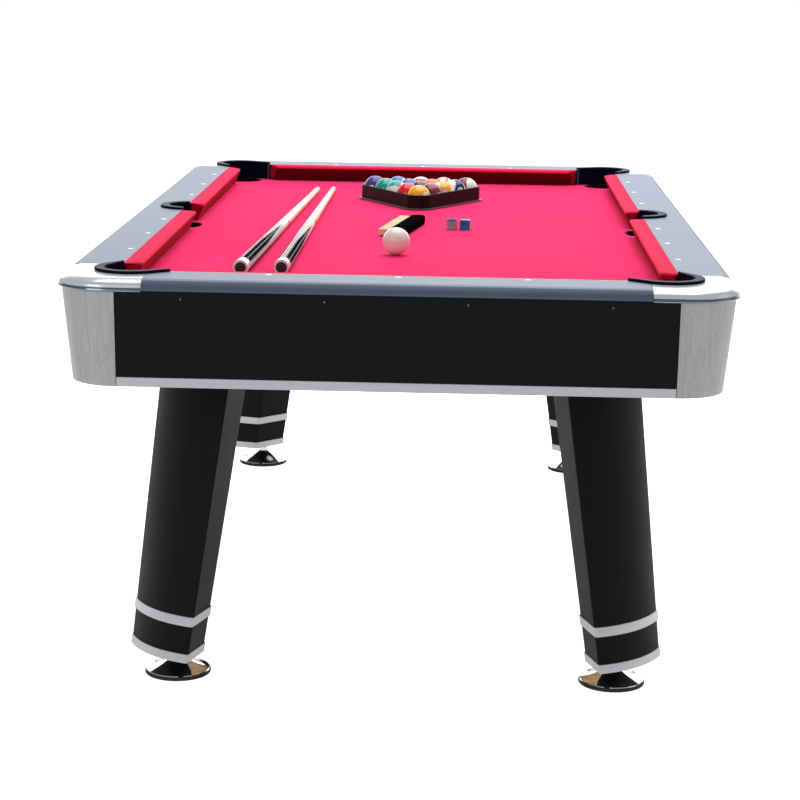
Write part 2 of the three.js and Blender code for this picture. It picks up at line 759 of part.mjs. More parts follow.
function ball(x, y, radius, across, around) {
  const geometry = new THREE.SphereGeometry(radius, around, across);
  geometry.rotateX(Math.PI / 2);
  geometry.translate(x, y, REST + BALL_RADIUS);
  return geometry;
}

// The racked balls touch, and are held here as one cluster.
const TOUCH = 0.35; // growth that makes neighbouring facets meet
const racked = [];
for (let row = 0; row < RACK.rows; row += 1) {
  for (let i = 0; i <= row; i += 1) {
    const x = RACK.x + (2 * i - row) * BALL_RADIUS;
    racked.push(ball(x, RACK.apexY + row * ROW_STEP, BALL_RADIUS + TOUCH, 8, 12));
  }
}
place('racked_balls', join(...racked).translate(0, 0, TOUCH), COLOURS.yellow, 0.12, 0);

const CUE_BALL = { x: -23, y: -430 };
place('cue_ball', welded(ball(CUE_BALL.x, CUE_BALL.y, BALL_RADIUS, 14, 20)), COLOURS.ivory, 0.15, 0);

const CUE = { length: 1470, butt: 15, tip: 6.5 };
const CUE_LAY = [
  { name: 'cue_left', butt: { x: -313, y: -760 }, tip: { x: -265 } },
  { name: 'cue_right', butt: { x: -235, y: -745 }, tip: { x: -225 } },
];
const cueShape = turned([
  [0, 0],
  [CUE.butt - 3, 0],
  [CUE.butt, 3],
  [CUE.tip, CUE.length - 3],
  [CUE.tip - 2.5, CUE.length],
  [0, CUE.length],
], 14);
for (const { name, butt, tip } of CUE_LAY) {
  const cue = place(name, cueShape, COLOURS.maple, 0.3, 0);
  const side = tip.x - butt.x;
  const drop = CUE.tip - CUE.butt;
  const along = Math.sqrt(CUE.length ** 2 - side ** 2 - drop ** 2);
  const direction = new THREE.Vector3(side, along, drop).normalize();
  cue.position.set(butt.x, butt.y, REST + CUE.butt + 0.1);
  cue.quaternion.setFromUnitVectors(new THREE.Vector3(0, 0, 1), direction);
}

// A bristle brush lying on its side: a round-ended back and a block of bristles.
const BRUSH = {
  x: -27,
  y: -25,
  turn: -0.163,
  length: 270,
  back: 34,
  bristle: 26, // free length of the bristles
  root: 8, // how far they are set into the back
  margin: 10, // back left bare at both ends
  thick: 20,
};
const BACK_ROUND = BRUSH.back / 2;
const brushBack = prism(
  [...arc({ x: BACK_ROUND, y: BRUSH.length / 2 - BACK_ROUND }, BACK_ROUND, 0, Math.PI, 6),
    ...arc({ x: BACK_ROUND, y: BACK_ROUND - BRUSH.length / 2 }, BACK_ROUND, Math.PI, 2 * Math.PI, 6)],
  0, BRUSH.thick);
const bristles = prism(
  rectangle(-BRUSH.bristle, BRUSH.margin - BRUSH.length / 2, BRUSH.root, BRUSH.length / 2 - BRUSH.margin),
  1, BRUSH.thick - 2);
const brush = place('table_brush', join(brushBack, bristles), COLOURS.plastic, 0.5, 0);
brush.position.set(BRUSH.x, BRUSH.y, REST);
brush.rotation.z = BRUSH.turn;

const CHALK_SIZE = 22.5;
const CHALKS = [
  { name: 'chalk_wrapped', x: 88, y: 6, turn: 0.04 },
  { name: 'chalk_open', x: 118.5, y: 2, turn: -0.12 },
];
for (const { name, x, y, turn } of CHALKS) {
  const cube = new THREE.BoxGeometry(CHALK_SIZE, CHALK_SIZE, CHALK_SIZE);
  const chalk = place(name, welded(cube), COLOURS.chalk, 0.9, 0);
  chalk.position.set(x, y, REST + CHALK_SIZE / 2);
  chalk.rotation.z = turn;
}

export default table;
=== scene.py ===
"""Looks of a seven-foot six-pocket billiard table, its cues, balls, rack, brush and chalk.

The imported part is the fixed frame. Every piece is worked out in metres, in the part's own frame,
from the boxes of the CAD nodes that it stands for. Surfaces are numpy arrays of points and faces.
"""

from __future__ import annotations

import json
import logging
import math
from dataclasses import dataclass, field
from enum import Enum

import bpy
import numpy as np
from mathutils import Matrix, Vector

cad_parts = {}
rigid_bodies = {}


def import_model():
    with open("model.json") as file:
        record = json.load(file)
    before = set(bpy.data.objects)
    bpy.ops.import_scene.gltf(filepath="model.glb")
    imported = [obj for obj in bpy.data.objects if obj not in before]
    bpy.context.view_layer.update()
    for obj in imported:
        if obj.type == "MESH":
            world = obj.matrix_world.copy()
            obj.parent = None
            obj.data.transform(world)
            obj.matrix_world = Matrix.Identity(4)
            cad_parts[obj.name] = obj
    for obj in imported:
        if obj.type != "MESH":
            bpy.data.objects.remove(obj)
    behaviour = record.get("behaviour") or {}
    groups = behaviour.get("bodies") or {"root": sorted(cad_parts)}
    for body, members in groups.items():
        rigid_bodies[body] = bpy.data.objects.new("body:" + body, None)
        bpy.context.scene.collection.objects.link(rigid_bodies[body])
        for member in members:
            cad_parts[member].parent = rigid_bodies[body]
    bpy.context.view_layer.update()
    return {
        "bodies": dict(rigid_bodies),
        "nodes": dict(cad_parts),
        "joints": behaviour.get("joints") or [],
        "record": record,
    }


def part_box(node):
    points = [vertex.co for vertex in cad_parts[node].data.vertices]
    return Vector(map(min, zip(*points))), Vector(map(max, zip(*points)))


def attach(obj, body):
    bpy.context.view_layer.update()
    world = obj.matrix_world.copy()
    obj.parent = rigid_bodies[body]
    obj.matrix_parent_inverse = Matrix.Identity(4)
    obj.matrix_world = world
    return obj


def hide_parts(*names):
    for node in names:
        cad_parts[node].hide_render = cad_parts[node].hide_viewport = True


LOG = logging.getLogger("billiard_table")
MM = 0.001
TURN = 2.0 * math.pi
TABLE_BODY = "table"

Array = np.ndarray


class Side(Enum):
    """Left or right half of the table, with the sign of X there."""

    LEFT = -1
    RIGHT = 1

    @property
    def label(self) -> str:
        """Lower-case name, as the CAD nodes use it."""
        return self.name.lower()


class End(Enum):
    """Front or rear end of the table, with the sign of Y there."""

    FRONT = -1
    REAR = 1

    @property
    def label(self) -> str:
        """Lower-case name, as the CAD nodes use it."""
        return self.name.lower()


CORNERS: tuple[tuple[End, Side], ...] = tuple((end, side) for end in End for side in Side)


# ------------------------------------------------------------------ plane curves


def arc(centre: tuple[float, float], radius: float, start: float, stop: float, steps: int) -> Array:
    """Points of an arc, both ends included: centre + radius * (cos a, sin a) for evenly spaced a.

    Args:
        centre: Middle of the arc.
        radius: Its radius.
        start: First angle in radians.
        stop: Last angle in radians.
        steps: Number of chords.

    Returns:
        Array of (steps + 1, 2).
    """
    angle = np.linspace(start, stop, steps + 1)
    return np.asarray(centre) + radius * np.stack([np.cos(angle), np.sin(angle)], axis=-1)


def eased(profile: Array, radius: float | Array, steps: int = 3) -> Array:
    """Closed profile with every corner rounded.

    Each corner is swapped for a quadratic curve between the two points that lie the radius away
    from it along its sides, held to 0.45 of the shorter side. The curve is
    (1-t)^2 a + 2t(1-t) corner + t^2 b.

    Args:
        profile: Corners (n, 2), in order.
        radius: Reach of the rounding from the corner, one for all or one for each.
        steps: Chords in each rounding.

    Returns:
        Array of (n * (steps + 1), 2).
    """
    corner = np.asarray(profile, float)
    before, after = np.roll(corner, 1, axis=0) - corner, np.roll(corner, -1, axis=0) - corner
    run_in, run_out = np.linalg.norm(before, axis=1), np.linalg.norm(after, axis=1)
    reach = np.minimum(np.broadcast_to(radius, run_in.shape), 0.45 * np.minimum(run_in, run_out))
    a = corner + before / run_in[:, None] * reach[:, None]
    b = corner + after / run_out[:, None] * reach[:, None]
    t = np.linspace(0.0, 1.0, steps + 1)[None, :, None]
    curve = (1 - t) ** 2 * a[:, None] + 2 * t * (1 - t) * corner[:, None] + t**2 * b[:, None]
    return curve.reshape(-1, 2)


def shrunk(loop: Array, inset: float) -> Array:
    """Closed plane loop moved inwards by an inset.

    Each point moves along the mean of its two side normals, made longer by 1 / cos of the half
    angle between them, and at most doubled.

    Args:
        loop: Points (n, 2), in either turning sense.
        inset: Distance inwards.

    Returns:
        Array of (n, 2).
    """
    side = np.roll(loop, -1, axis=0) - loop
    length = np.maximum(np.linalg.norm(side, axis=1, keepdims=True), 1e-12)
    side = side / length
    normal = np.stack([-side[:, 1], side[:, 0]], axis=-1)
    if area_of(loop) < 0:
        normal = -normal
    mean = normal + np.roll(normal, 1, axis=0)
    mean = mean / np.maximum(np.linalg.norm(mean, axis=1, keepdims=True), 1e-9)
    spread = np.clip((mean * normal).sum(axis=1, keepdims=True), 0.5, 1.0)
    return loop + mean * inset / spread


def area_of(loop: Array) -> float:
    """Signed area of a plane loop, positive where it turns to the left."""
    x, y = loop[:, 0], loop[:, 1]
    return float(0.5 * (x * np.roll(y, -1) - y * np.roll(x, -1)).sum())


# ------------------------------------------------------------------ surfaces


@dataclass
class Shell:
    """A closed surface: points, faces of equal corner count in groups, and a coordinate pair each.

    Each group holds the corner numbers (m, k), the pattern coordinates (m, k, 2) in metres, and
    the number of its finish on the piece.
    """

    points: Array = field(default_factory=lambda: np.zeros((0, 3)))
    groups: list[tuple[Array, Array, int]] = field(default_factory=list)

    def joined(self, *others: Shell) -> Shell:
        """This shell and others as one, their corner numbers shifted past the earlier points."""
        points, groups, base = [], [], 0
        for shell in (self, *others):
            points.append(shell.points)
            groups += [(faces + base, uv, finish) for faces, uv, finish in shell.groups]
            base += len(shell.points)
        return Shell(np.concatenate(points), groups)

    def moved(self, matrix: Array, shift: Array | tuple[float, float, float] = (0, 0, 0)) -> Shell:
        """Points times a 3 by 3 matrix plus a shift; faces are turned round if it mirrors."""
        groups = self.groups
        if np.linalg.det(matrix) < 0:
            groups = [(faces[:, ::-1], uv[:, ::-1], finish) for faces, uv, finish in groups]
        return Shell(self.points @ np.asarray(matrix).T + np.asarray(shift), groups)

    def mirrored(self, sx: int, sy: int) -> Shell:
        """The shell in another quarter of the table."""
        return self.moved(np.diag([float(sx), float(sy), 1.0]))

    def banded(self, levels: tuple[float, ...]) -> Shell:
        """Numbers each face's finish by how many of the levels lie above its middle.

        Args:
            levels: Heights between one finish and the next.

        Returns:
            The same surface, its faces split between the finishes.
        """
        groups = []
        for faces, uv, _ in self.groups:
            height = self.points[faces][..., 2].mean(axis=1)
            above = (height[:, None] < np.array(levels)).sum(axis=1)
            groups += [(faces[above == k], uv[above == k], int(k)) for k in np.unique(above)]
        return Shell(self.points, groups)

    def volume(self) -> float:
        """Signed volume: a fan of tetrahedra from the origin over every face."""
        total = 0.0
        for faces, _, _ in self.groups:
            first = self.points[faces[:, 0]]
            for k in range(1, faces.shape[1] - 1):
                crossed = np.cross(self.points[faces[:, k]], self.points[faces[:, k + 1]])
                total += float((first * crossed).sum()) / 6.0
        return total

    def outward(self) -> Shell:
        """The same shell with its faces turned outwards."""
        if self.volume() >= 0:
            return self
        turned = [(faces[:, ::-1], uv[:, ::-1], finish) for faces, uv, finish in self.groups]
        return Shell(self.points, turned)


def grid(points: Array, closed_u: bool = False, closed_v: bool = False, finish: int = 0) -> Shell:
    """Surface over a grid of points, one four-sided face for each cell.

    The pattern coordinates are the distances run along the two directions of the grid.

    Args:
        points: Array (m, n, 3): m rings of n points.
        closed_u: Whether the last ring meets the first.
        closed_v: Whether the last point of a ring meets its first.
        finish: Finish number for the faces.

    Returns:
        The open or closed surface.
    """
    m, n = points.shape[:2]
    rows, cols = np.arange(m if closed_u else m - 1), np.arange(n if closed_v else n - 1)
    i, j = np.meshgrid(rows, cols, indexing="ij")
    i2, j2 = (i + 1) % m, (j + 1) % n
    faces = np.stack([i * n + j, i2 * n + j, i2 * n + j2, i * n + j2], axis=-1).reshape(-1, 4)
    across = np.linalg.norm(np.diff(points, axis=1, append=points[:, :1]), axis=-1).max(axis=0)
    along = np.linalg.norm(np.diff(points, axis=0, append=points[:1]), axis=-1).max(axis=1)
    run_v = np.concatenate([[0.0], np.cumsum(across)])
    run_u = np.concatenate([[0.0], np.cumsum(along)])
    uv = np.stack(
        [
            np.stack([run_v[j], run_u[i]], axis=-1),
            np.stack([run_v[j], run_u[i + 1]], axis=-1),
            np.stack([run_v[j + 1], run_u[i + 1]], axis=-1),
            np.stack([run_v[j + 1], run_u[i]], axis=-1),
        ],
        axis=-2,
    ).reshape(-1, 4, 2)
    return Shell(points.reshape(-1, 3), [(faces, uv, finish)])


def loft(rings: Array, finish: int = 0) -> Shell:
    """Closed body through a stack of closed rings, with a flat face over each end.

    Args:
        rings: Array (m, n, 3).
        finish: Finish number.

    Returns:
        The closed surface, facing outwards.
    """
    m, n = rings.shape[:2]
    body = grid(rings, closed_v=True, finish=finish)
    first, last = np.arange(n)[None, :], np.arange(n)[None, ::-1] + (m - 1) * n
    flat = [plane_pair(rings[0])[None], plane_pair(rings[-1])[None, ::-1]]
    body.groups += [(first, flat[0], finish), (last, flat[1], finish)]
    return body.outward()


def plane_pair(ring: Array) -> Array:
    """The two coordinates of a flat ring that vary the most, as pattern coordinates."""
    keep = np.sort(np.argsort(np.ptp(ring, axis=0))[1:])
    return ring[:, keep]


def ring_body(rings: Array, finish: int = 0) -> Shell:
    """Closed body whose profile runs round a closed path: rings (m, n, 3) that meet both ways."""
    return grid(rings, closed_u=True, closed_v=True, finish=finish).outward()


def turned(profile: Array, segments: int, finish: int = 0) -> Shell:
    """Solid of revolution about Z: (r cos a, r sin a, z), from the axis back to the axis.

    Args:
        profile: (radius, height) points; the first and last lie on the axis.
        segments: Faces round the axis.
        finish: Finish number.

    Returns:
        The closed surface.
    """
    angle = np.linspace(0.0, TURN, segments, endpoint=False)
    body = np.asarray(profile[1:-1], float)
    around = np.stack([np.cos(angle), np.sin(angle)], axis=-1)
    rings = np.concatenate(
        [
            body[:, None, :1] * around[None],
            np.broadcast_to(body[:, None, 1:], (len(body), segments, 1)),
        ],
        axis=-1,
    )
    shell = grid(rings, closed_v=True, finish=finish)
    poles = np.array([[0.0, 0.0, profile[0][1]], [0.0, 0.0, profile[-1][1]]])
    count, here = len(shell.points), np.arange(segments)
    after, top = (here + 1) % segments, (len(body) - 1) * segments
    low = np.stack([np.full(segments, count), here, after], axis=-1)
    high = np.stack([np.full(segments, count + 1), after + top, here + top], axis=-1)
    points = np.concatenate([shell.points, poles])
    shell.points = points
    shell.groups += [(faces, points[faces][..., :2], finish) for faces in (low, high)]
    return shell.outward()


def softened(start: float, stop: float, radius: float, steps: int = 3) -> Array:
    """Stations that round both ends of a bar.

    At each end the position is radius * (1 - sin a) in from the end while the profile shrinks by
    radius * (1 - cos a), for a from a quarter turn down to nothing.

    Args:
        start: First end along the bar.
        stop: Last end.
        radius: Radius of the rounding.
        steps: Chords in each quarter round.

    Returns:
        Array (2 * steps + 2, 2) of (position along, shrinking of the profile).
    """
    angle = np.linspace(0.0, math.pi / 2, steps + 1)
    off, shrink = radius * (1 - np.cos(angle)), radius * (1 - np.sin(angle))
    head = np.stack([start + off, shrink], axis=-1)
    tail = np.stack([stop - off[::-1], shrink[::-1]], axis=-1)
    return np.concatenate([head, tail])


# ------------------------------------------------------------------ pieces in Blender


def to_object(shell: Shell, name: str, finishes: list[bpy.types.Material]) -> bpy.types.Object:
    """Puts a shell into a new mesh object at the origin, in metres.

    Args:
        shell: Points in millimetres.
        name: Piece name.
        finishes: Materials, by finish number.

    Returns:
        The linked object.
    """
    mesh = bpy.data.meshes.new(name)
    sizes = np.concatenate([np.full(len(f), f.shape[1]) for f, _, _ in shell.groups])
    corners = np.concatenate([f.reshape(-1) for f, _, _ in shell.groups])
    mesh.vertices.add(len(shell.points))
    mesh.vertices.foreach_set("co", (shell.points * MM).astype(np.float32).ravel())
    mesh.loops.add(len(corners))
    mesh.loops.foreach_set("vertex_index", corners.astype(np.int32))
    mesh.polygons.add(len(sizes))
    starts = np.concatenate([[0], np.cumsum(sizes)[:-1]])
    mesh.polygons.foreach_set("loop_start", starts.astype(np.int32))
    mesh.update(calc_edges=True)
    numbers = np.concatenate([np.full(len(f), k) for f, _, k in shell.groups])
    mesh.polygons.foreach_set("material_index", numbers.astype(np.int32))
    pairs = np.concatenate([uv.reshape(-1, 2) for _, uv, _ in shell.groups])
    mesh.uv_layers.new(name="metres").data.foreach_set("uv", (pairs * MM).astype(np.float32).ravel())
    for finish in finishes:
        mesh.materials.append(finish)
    mesh.validate()
    mesh.update()
    piece = bpy.data.objects.new(name, mesh)
    bpy.context.scene.collection.objects.link(piece)
    return piece


def carved(blank: Shell, tools: list[Shell], name: str, finishes: list[bpy.types.Material]) -> bpy.types.Object:
    """A piece with other bodies cut out of it by the exact boolean solver.

    Args:
        blank: The body to cut.
        tools: Bodies to take away from it.
        name: Name of the piece.
        finishes: Materials that its face groups number.

    Returns:
        The cut piece, with no modifiers left on it.
    """
    piece = to_object(blank, name, finishes)
    cutters = [to_object(tool, f"{name}_tool", []) for tool in tools]
    for cutter in cutters:
        step = piece.modifiers.new("cut", "BOOLEAN")
        step.operation, step.solver, step.object = "DIFFERENCE", "EXACT", cutter
    bpy.context.view_layer.update()
    seen = piece.evaluated_get(bpy.context.evaluated_depsgraph_get())
    mesh = bpy.data.meshes.new_from_object(seen)
    piece.modifiers.clear()
    piece.data = mesh
    for cutter in cutters:
        bpy.data.objects.remove(cutter)
    return piece


def finished(
    piece: bpy.types.Object,
    replaces: tuple[str, ...] = (),
    body: str = TABLE_BODY,
    sharp: float = 32.0,
) -> bpy.types.Object:
    """Shades a piece smoothly between sharp edges, ties it to its body, hides the CAD nodes it stands for, and
    reports it.

    Args:
        piece: The piece to finish.
        replaces: CAD nodes that it stands for.
        body: Body that it rides on.
        sharp: Angle in degrees above which an edge stays sharp.

    Returns:
        The same piece.
    """
    mesh = piece.data
    mesh.polygons.foreach_set("use_smooth", np.ones(len(mesh.polygons), bool))
    mesh.set_sharp_from_angle(angle=math.radians(sharp))
    evened = piece.modifiers.new("even_normals", "WEIGHTED_NORMAL")
    evened.keep_sharp = True
    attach(piece, body)
    if replaces:
        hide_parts(*replaces)
    LOG.info("%s: %d faces on %s", piece.name, len(mesh.polygons), body)
    return piece


# ------------------------------------------------------------------ shared effects


def number_socket(tree: bpy.types.NodeTree, name: str, default: float, out: bool = False) -> None:
    """Adds a number socket to a node group."""
    way = "OUTPUT" if out else "INPUT"
    socket = tree.interface.new_socket(name=name, in_out=way, socket_type="NodeSocketFloat")
    if not out:
        socket.default_value = default


class Graph:
    """Short ways to add and join the nodes of one tree."""

    def __init__(self, tree: bpy.types.NodeTree) -> None:
        """Starts on an empty tree."""
        self.tree = tree

    def node(self, kind: str, **settings: object) -> bpy.types.Node:
        """Adds a node and sets its options by name."""
        made = self.tree.nodes.new(kind)
        for key, value in settings.items():
            setattr(made, key, value)
        return made

    def link(self, source: bpy.types.NodeSocket, target: bpy.types.NodeSocket) -> None:
        """Joins two sockets."""
        self.tree.links.new(source, target)

    def feed(self, target: bpy.types.NodeSocket, value: object) -> None:
        """Joins a socket to a target, or sets the target's plain value."""
        if isinstance(value, bpy.types.NodeSocket):
            self.link(value, target)
        else:
            target.default_value = value

    def math(self, operation: str, a: object, b: object = 0.0, c: object = 0.0) -> bpy.types.NodeSocket:
        """One arithmetic step on up to three values."""
        made = self.node("ShaderNodeMath", operation=operation)
        for k, value in enumerate((a, b, c)):
            self.feed(made.inputs[k], value)
        return made.outputs[0]

    def mix(self, share: object, a: object, b: object) -> bpy.types.NodeSocket:
        """Colour between a and b."""
        made = self.node("ShaderNodeMix", data_type="RGBA")
        self.feed(made.inputs["Factor"], share)
        self.feed(made.inputs[6], a)
        self.feed(made.inputs[7], b)
        return made.outputs[2]

    def noise(self, where: object, scale: object, detail: float = 3.0, rough: float = 0.5) -> bpy.types.NodeSocket:
        """Noise between 0 and 1 at a place."""
        made = self.node("ShaderNodeTexNoise")
        self.feed(made.inputs["Vector"], where)
        self.feed(made.inputs["Scale"], scale)
        made.inputs["Detail"].default_value = detail
        made.inputs["Roughness"].default_value = rough
        return made.outputs["Fac"]

    def stretch(self, where: object, scale: tuple[float, float, float]) -> bpy.types.NodeSocket:
        """Place scaled by axis, for streaks and grain."""
        made = self.node("ShaderNodeMapping")
        self.feed(made.inputs["Vector"], where)
        made.inputs["Scale"].default_value = scale
        return made.outputs["Vector"]

    def ramp(self, value: object, low: float, high: float, a: float = 0.0, b: float = 1.0) -> bpy.types.NodeSocket:
        """Value carried from low..high to a..b, held at both ends."""
        made = self.node("ShaderNodeMapRange")
        for k, item in enumerate((value, low, high, a, b)):
            self.feed(made.inputs[k], item)
        return made.outputs[0]

    def split(self, where: object) -> tuple[bpy.types.NodeSocket, ...]:
        """The three parts of a vector."""
        made = self.node("ShaderNodeSeparateXYZ")
        self.feed(made.inputs[0], where)
        return made.outputs[0], made.outputs[1], made.outputs[2]


def effect_group(
    name: str, inputs: dict[str, float]
) -> tuple[bpy.types.NodeTree, Graph, bpy.types.Node, bpy.types.Node]:
    """Starts a node group with a place input, number inputs, and the outputs Shade and Height.

    Args:
        name: Group name.
        inputs: Number inputs and their first values.

    Returns:
        The tree, its graph, the group input node and the group output node.
    """
    tree = bpy.data.node_groups.new(name, "ShaderNodeTree")
    tree.interface.new_socket(name="Place", in_out="INPUT", socket_type="NodeSocketVector")
    for key, value in inputs.items():
        number_socket(tree, key, value)
    number_socket(tree, "Shade", 0.0, out=True)
    number_socket(tree, "Height", 0.0, out=True)
    graph = Graph(tree)
    return tree, graph, graph.node("NodeGroupInput"), graph.node("NodeGroupOutput")


def nap_group() -> bpy.types.NodeTree:
    """Napped billiard cloth: crossing twill threads under short fibres, with slow pile shading."""
    tree, g, given, out = effect_group("napped_weave", {"Threads": 1100.0, "Pile": 1.0})
    place = given.outputs["Place"]
    x, y, z = g.split(place)
    run = g.math("MULTIPLY", g.math("ADD", g.math("ADD", x, y), z), given.outputs["Threads"])
    cross = g.math("MULTIPLY", g.math("SUBTRACT", g.math("SUBTRACT", x, y), z), given.outputs["Threads"])
    weave = g.math("ADD", g.math("SINE", run), g.math("MULTIPLY", g.math("SINE", cross), 0.6))
    fibre = g.noise(g.stretch(place, (1.0, 0.55, 1.0)), 2600.0, 2.0, 0.6)
    cloud = g.noise(place, 5.5, 4.0, 0.55)
    rubbed = g.noise(g.stretch(place, (1.0, 0.35, 1.0)), 38.0, 3.0, 0.6)
    shade = g.math("ADD", g.math("MULTIPLY", cloud, 0.55), g.math("MULTIPLY", rubbed, 0.25))
    shade = g.math("ADD", shade, g.math("MULTIPLY", fibre, 0.2))
    g.link(g.math("MULTIPLY", shade, given.outputs["Pile"]), out.inputs["Shade"])
    g.link(g.math("ADD", g.math("MULTIPLY", weave, 0.2), fibre), out.inputs["Height"])
    return tree


def brushed_group() -> bpy.types.NodeTree:
    """Brushed metal: fine scratches drawn out along one axis, with broad soft streaks."""
    tree, g, given, out = effect_group("brushed_streaks", {"Fine": 1.0, "Broad": 1.0})
    place = given.outputs["Place"]
    fine = g.noise(place, 900.0, 2.0, 0.7)
    middle = g.noise(place, 170.0, 3.0, 0.6)
    broad = g.noise(place, 34.0, 3.0, 0.5)
    shade = g.math("ADD", g.math("MULTIPLY", fine, g.math("MULTIPLY", given.outputs["Fine"], 0.4)),
                   g.math("MULTIPLY", middle, 0.3))
    shade = g.math("ADD", shade, g.math("MULTIPLY", broad, g.math("MULTIPLY", given.outputs["Broad"], 0.3)))
    g.link(shade, out.inputs["Shade"])
    g.link(g.math("ADD", fine, g.math("MULTIPLY", middle, 0.5)), out.inputs["Height"])
    return tree


def grain_group() -> bpy.types.NodeTree:
    """Wood grain: long wavy rings pulled along the piece, with short dark pores."""
    tree, g, given, out = effect_group("wood_grain", {"Rings": 60.0, "Pores": 1.0})
    place = given.outputs["Place"]
    wave = g.noise(place, 9.0, 4.0, 0.55)
    x, y, z = g.split(place)
    rings = g.math("SINE", g.math("MULTIPLY", g.math("ADD", g.math("ADD", x, z), g.math("MULTIPLY", wave, 0.35)),
                                  given.outputs["Rings"]))
    pores = g.ramp(g.noise(g.stretch(place, (9.0, 1.0, 9.0)), 60.0, 2.0, 0.7), 0.58, 0.7)
    shade = g.math("ADD", g.math("MULTIPLY", rings, 0.25), g.math("MULTIPLY", wave, 0.5))
    shade = g.math("SUBTRACT", shade, g.math("MULTIPLY", g.math("MULTIPLY", pores, given.outputs["Pores"]), 0.3))
    g.link(g.math("ADD", shade, 0.3), out.inputs["Shade"])
    g.link(g.math("SUBTRACT", g.math("MULTIPLY", rings, 0.2), pores), out.inputs["Height"])
    return tree


def handling_group() -> bpy.types.NodeTree:
    """Moulded or laminated surface: fine pebble, faint scuffs, and dust in slow clouds."""
    tree, g, given, out = effect_group("handled_surface", {"Pebble": 900.0, "Scuffs": 1.0})
    place = given.outputs["Place"]
    pebble = g.noise(place, given.outputs["Pebble"], 2.0, 0.6)
    scuff = g.ramp(g.noise(g.stretch(place, (6.0, 1.0, 2.0)), 45.0, 5.0, 0.7), 0.6, 0.8)
    dust = g.noise(place, 7.0, 5.0, 0.6)
    shade = g.math("ADD", g.math("MULTIPLY", dust, 0.6), g.math("MULTIPLY", pebble, 0.25))
    shade = g.math("ADD", shade, g.math("MULTIPLY", g.math("MULTIPLY", scuff, given.outputs["Scuffs"]), 0.3))
    g.link(shade, out.inputs["Shade"])
    g.link(pebble, out.inputs["Height"])
    return tree


# ------------------------------------------------------------------ finishes


class Effect(Enum):
    """Which shared effect a finish is made with."""

    NAP = "napped_weave"
    BRUSHED = "brushed_streaks"
    GRAIN = "wood_grain"
    HANDLED = "handled_surface"


@dataclass(frozen=True)
class Finish:
    """One material: two colours that its effect mixes, its gloss, and the relief of its surface."""

    name: str
    dark: tuple[float, float, float]
    light: tuple[float, float, float]
    effect: Effect
    settings: tuple[float, float] = (1.0, 1.0)
    stretch: tuple[float, float, float] = (1.0, 1.0, 1.0)
    rough: tuple[float, float] = (0.4, 0.5)
    metallic: float = 0.0
    coat: float = 0.0
    sheen: float = 0.0
    relief: float = 0.05
    relief_depth: float = 0.0002
    specular: float = 0.5

    def graph(self) -> tuple[bpy.types.Material, Graph, bpy.types.Node, bpy.types.Node]:
        """Builds the shader and returns the material, its graph, the shader and the effect."""
        made = bpy.data.materials.new(self.name)
        made.use_nodes = True
        made.diffuse_color = (*self.light, 1.0)
        graph = Graph(made.node_tree)
        shader = made.node_tree.nodes["Principled BSDF"]
        effect = graph.node("ShaderNodeGroup", node_tree=bpy.data.node_groups[self.effect.value])
        place = graph.node("ShaderNodeTexCoord").outputs["Object"]
        graph.link(graph.stretch(place, self.stretch), effect.inputs["Place"])
        for socket, value in zip(list(effect.inputs)[1:], self.settings):
            socket.default_value = value
        shade = graph.ramp(effect.outputs["Shade"], 0.25, 0.75)
        colour = graph.mix(shade, (*self.dark, 1.0), (*self.light, 1.0))
        graph.link(colour, shader.inputs["Base Color"])
        graph.link(graph.ramp(shade, 0.0, 1.0, *self.rough), shader.inputs["Roughness"])
        shader.inputs["Metallic"].default_value = self.metallic
        shader.inputs["Specular IOR Level"].default_value = self.specular
        shader.inputs["Coat Weight"].default_value = self.coat
        shader.inputs["Coat Roughness"].default_value = 0.06
        shader.inputs["Sheen Weight"].default_value = self.sheen
        shader.inputs["Sheen Roughness"].default_value = 0.45
        bump = graph.node("ShaderNodeBump")
        bump.inputs["Strength"].default_value = self.relief
        bump.inputs["Distance"].default_value = self.relief_depth
        graph.link(effect.outputs["Height"], bump.inputs["Height"])
        graph.link(bump.outputs[0], shader.inputs["Normal"])
        return made, graph, shader, effect

    def material(self) -> bpy.types.Material:
        """The finished material."""
        return self.graph()[0]


def srgb(red: float, green: float, blue: float) -> tuple[float, float, float]:
    """Scene colour of a paint mixed in display units of 0 to 255: ((c / 255 + 0.055) / 1.055)^2.4."""
    shares = np.array([red, green, blue]) / 255.0
    linear = np.where(shares <= 0.04045, shares / 12.92, ((shares + 0.055) / 1.055) ** 2.4)
    return tuple(float(x) for x in linear)


CLOTH = Finish("crimson_cloth", srgb(232, 40, 96), srgb(246, 54, 116), Effect.NAP,
               settings=(1100.0, 1.0), rough=(0.85, 0.95), sheen=0.0, relief=0.25, specular=0.05)
CUSHION_CLOTH = Finish("crimson_cushion_cloth", srgb(218, 36, 76), srgb(236, 48, 92), Effect.NAP,
                       settings=(1300.0, 1.0), rough=(0.8, 0.92), relief=0.25, specular=0.08)
# Painted shade: a dark copy of the cushion cloth for the faces under the end cushions' noses.
END_NOSE_SHADE_CLOTH = Finish("shaded_facing_cloth", srgb(74, 4, 13), srgb(96, 7, 19), Effect.NAP,
                      settings=(1300.0, 1.0), rough=(0.85, 0.95), relief=0.3, specular=0.05)
RAIL_LAMINATE = Finish("blue_grey_laminate", srgb(112, 124, 145), srgb(126, 138, 159), Effect.HANDLED,
                       settings=(1400.0, 0.5), rough=(0.44, 0.54), relief=0.04, specular=0.35)
# Painted shade: a darker copy of the rail laminate for the rail's outer bevel.
RAIL_BEVEL_SHADE = Finish("shaded_rail_bevel", srgb(75, 86, 104), srgb(87, 98, 117), Effect.HANDLED,
                    settings=(1400.0, 0.5), rough=(0.44, 0.54), relief=0.04, specular=0.2)
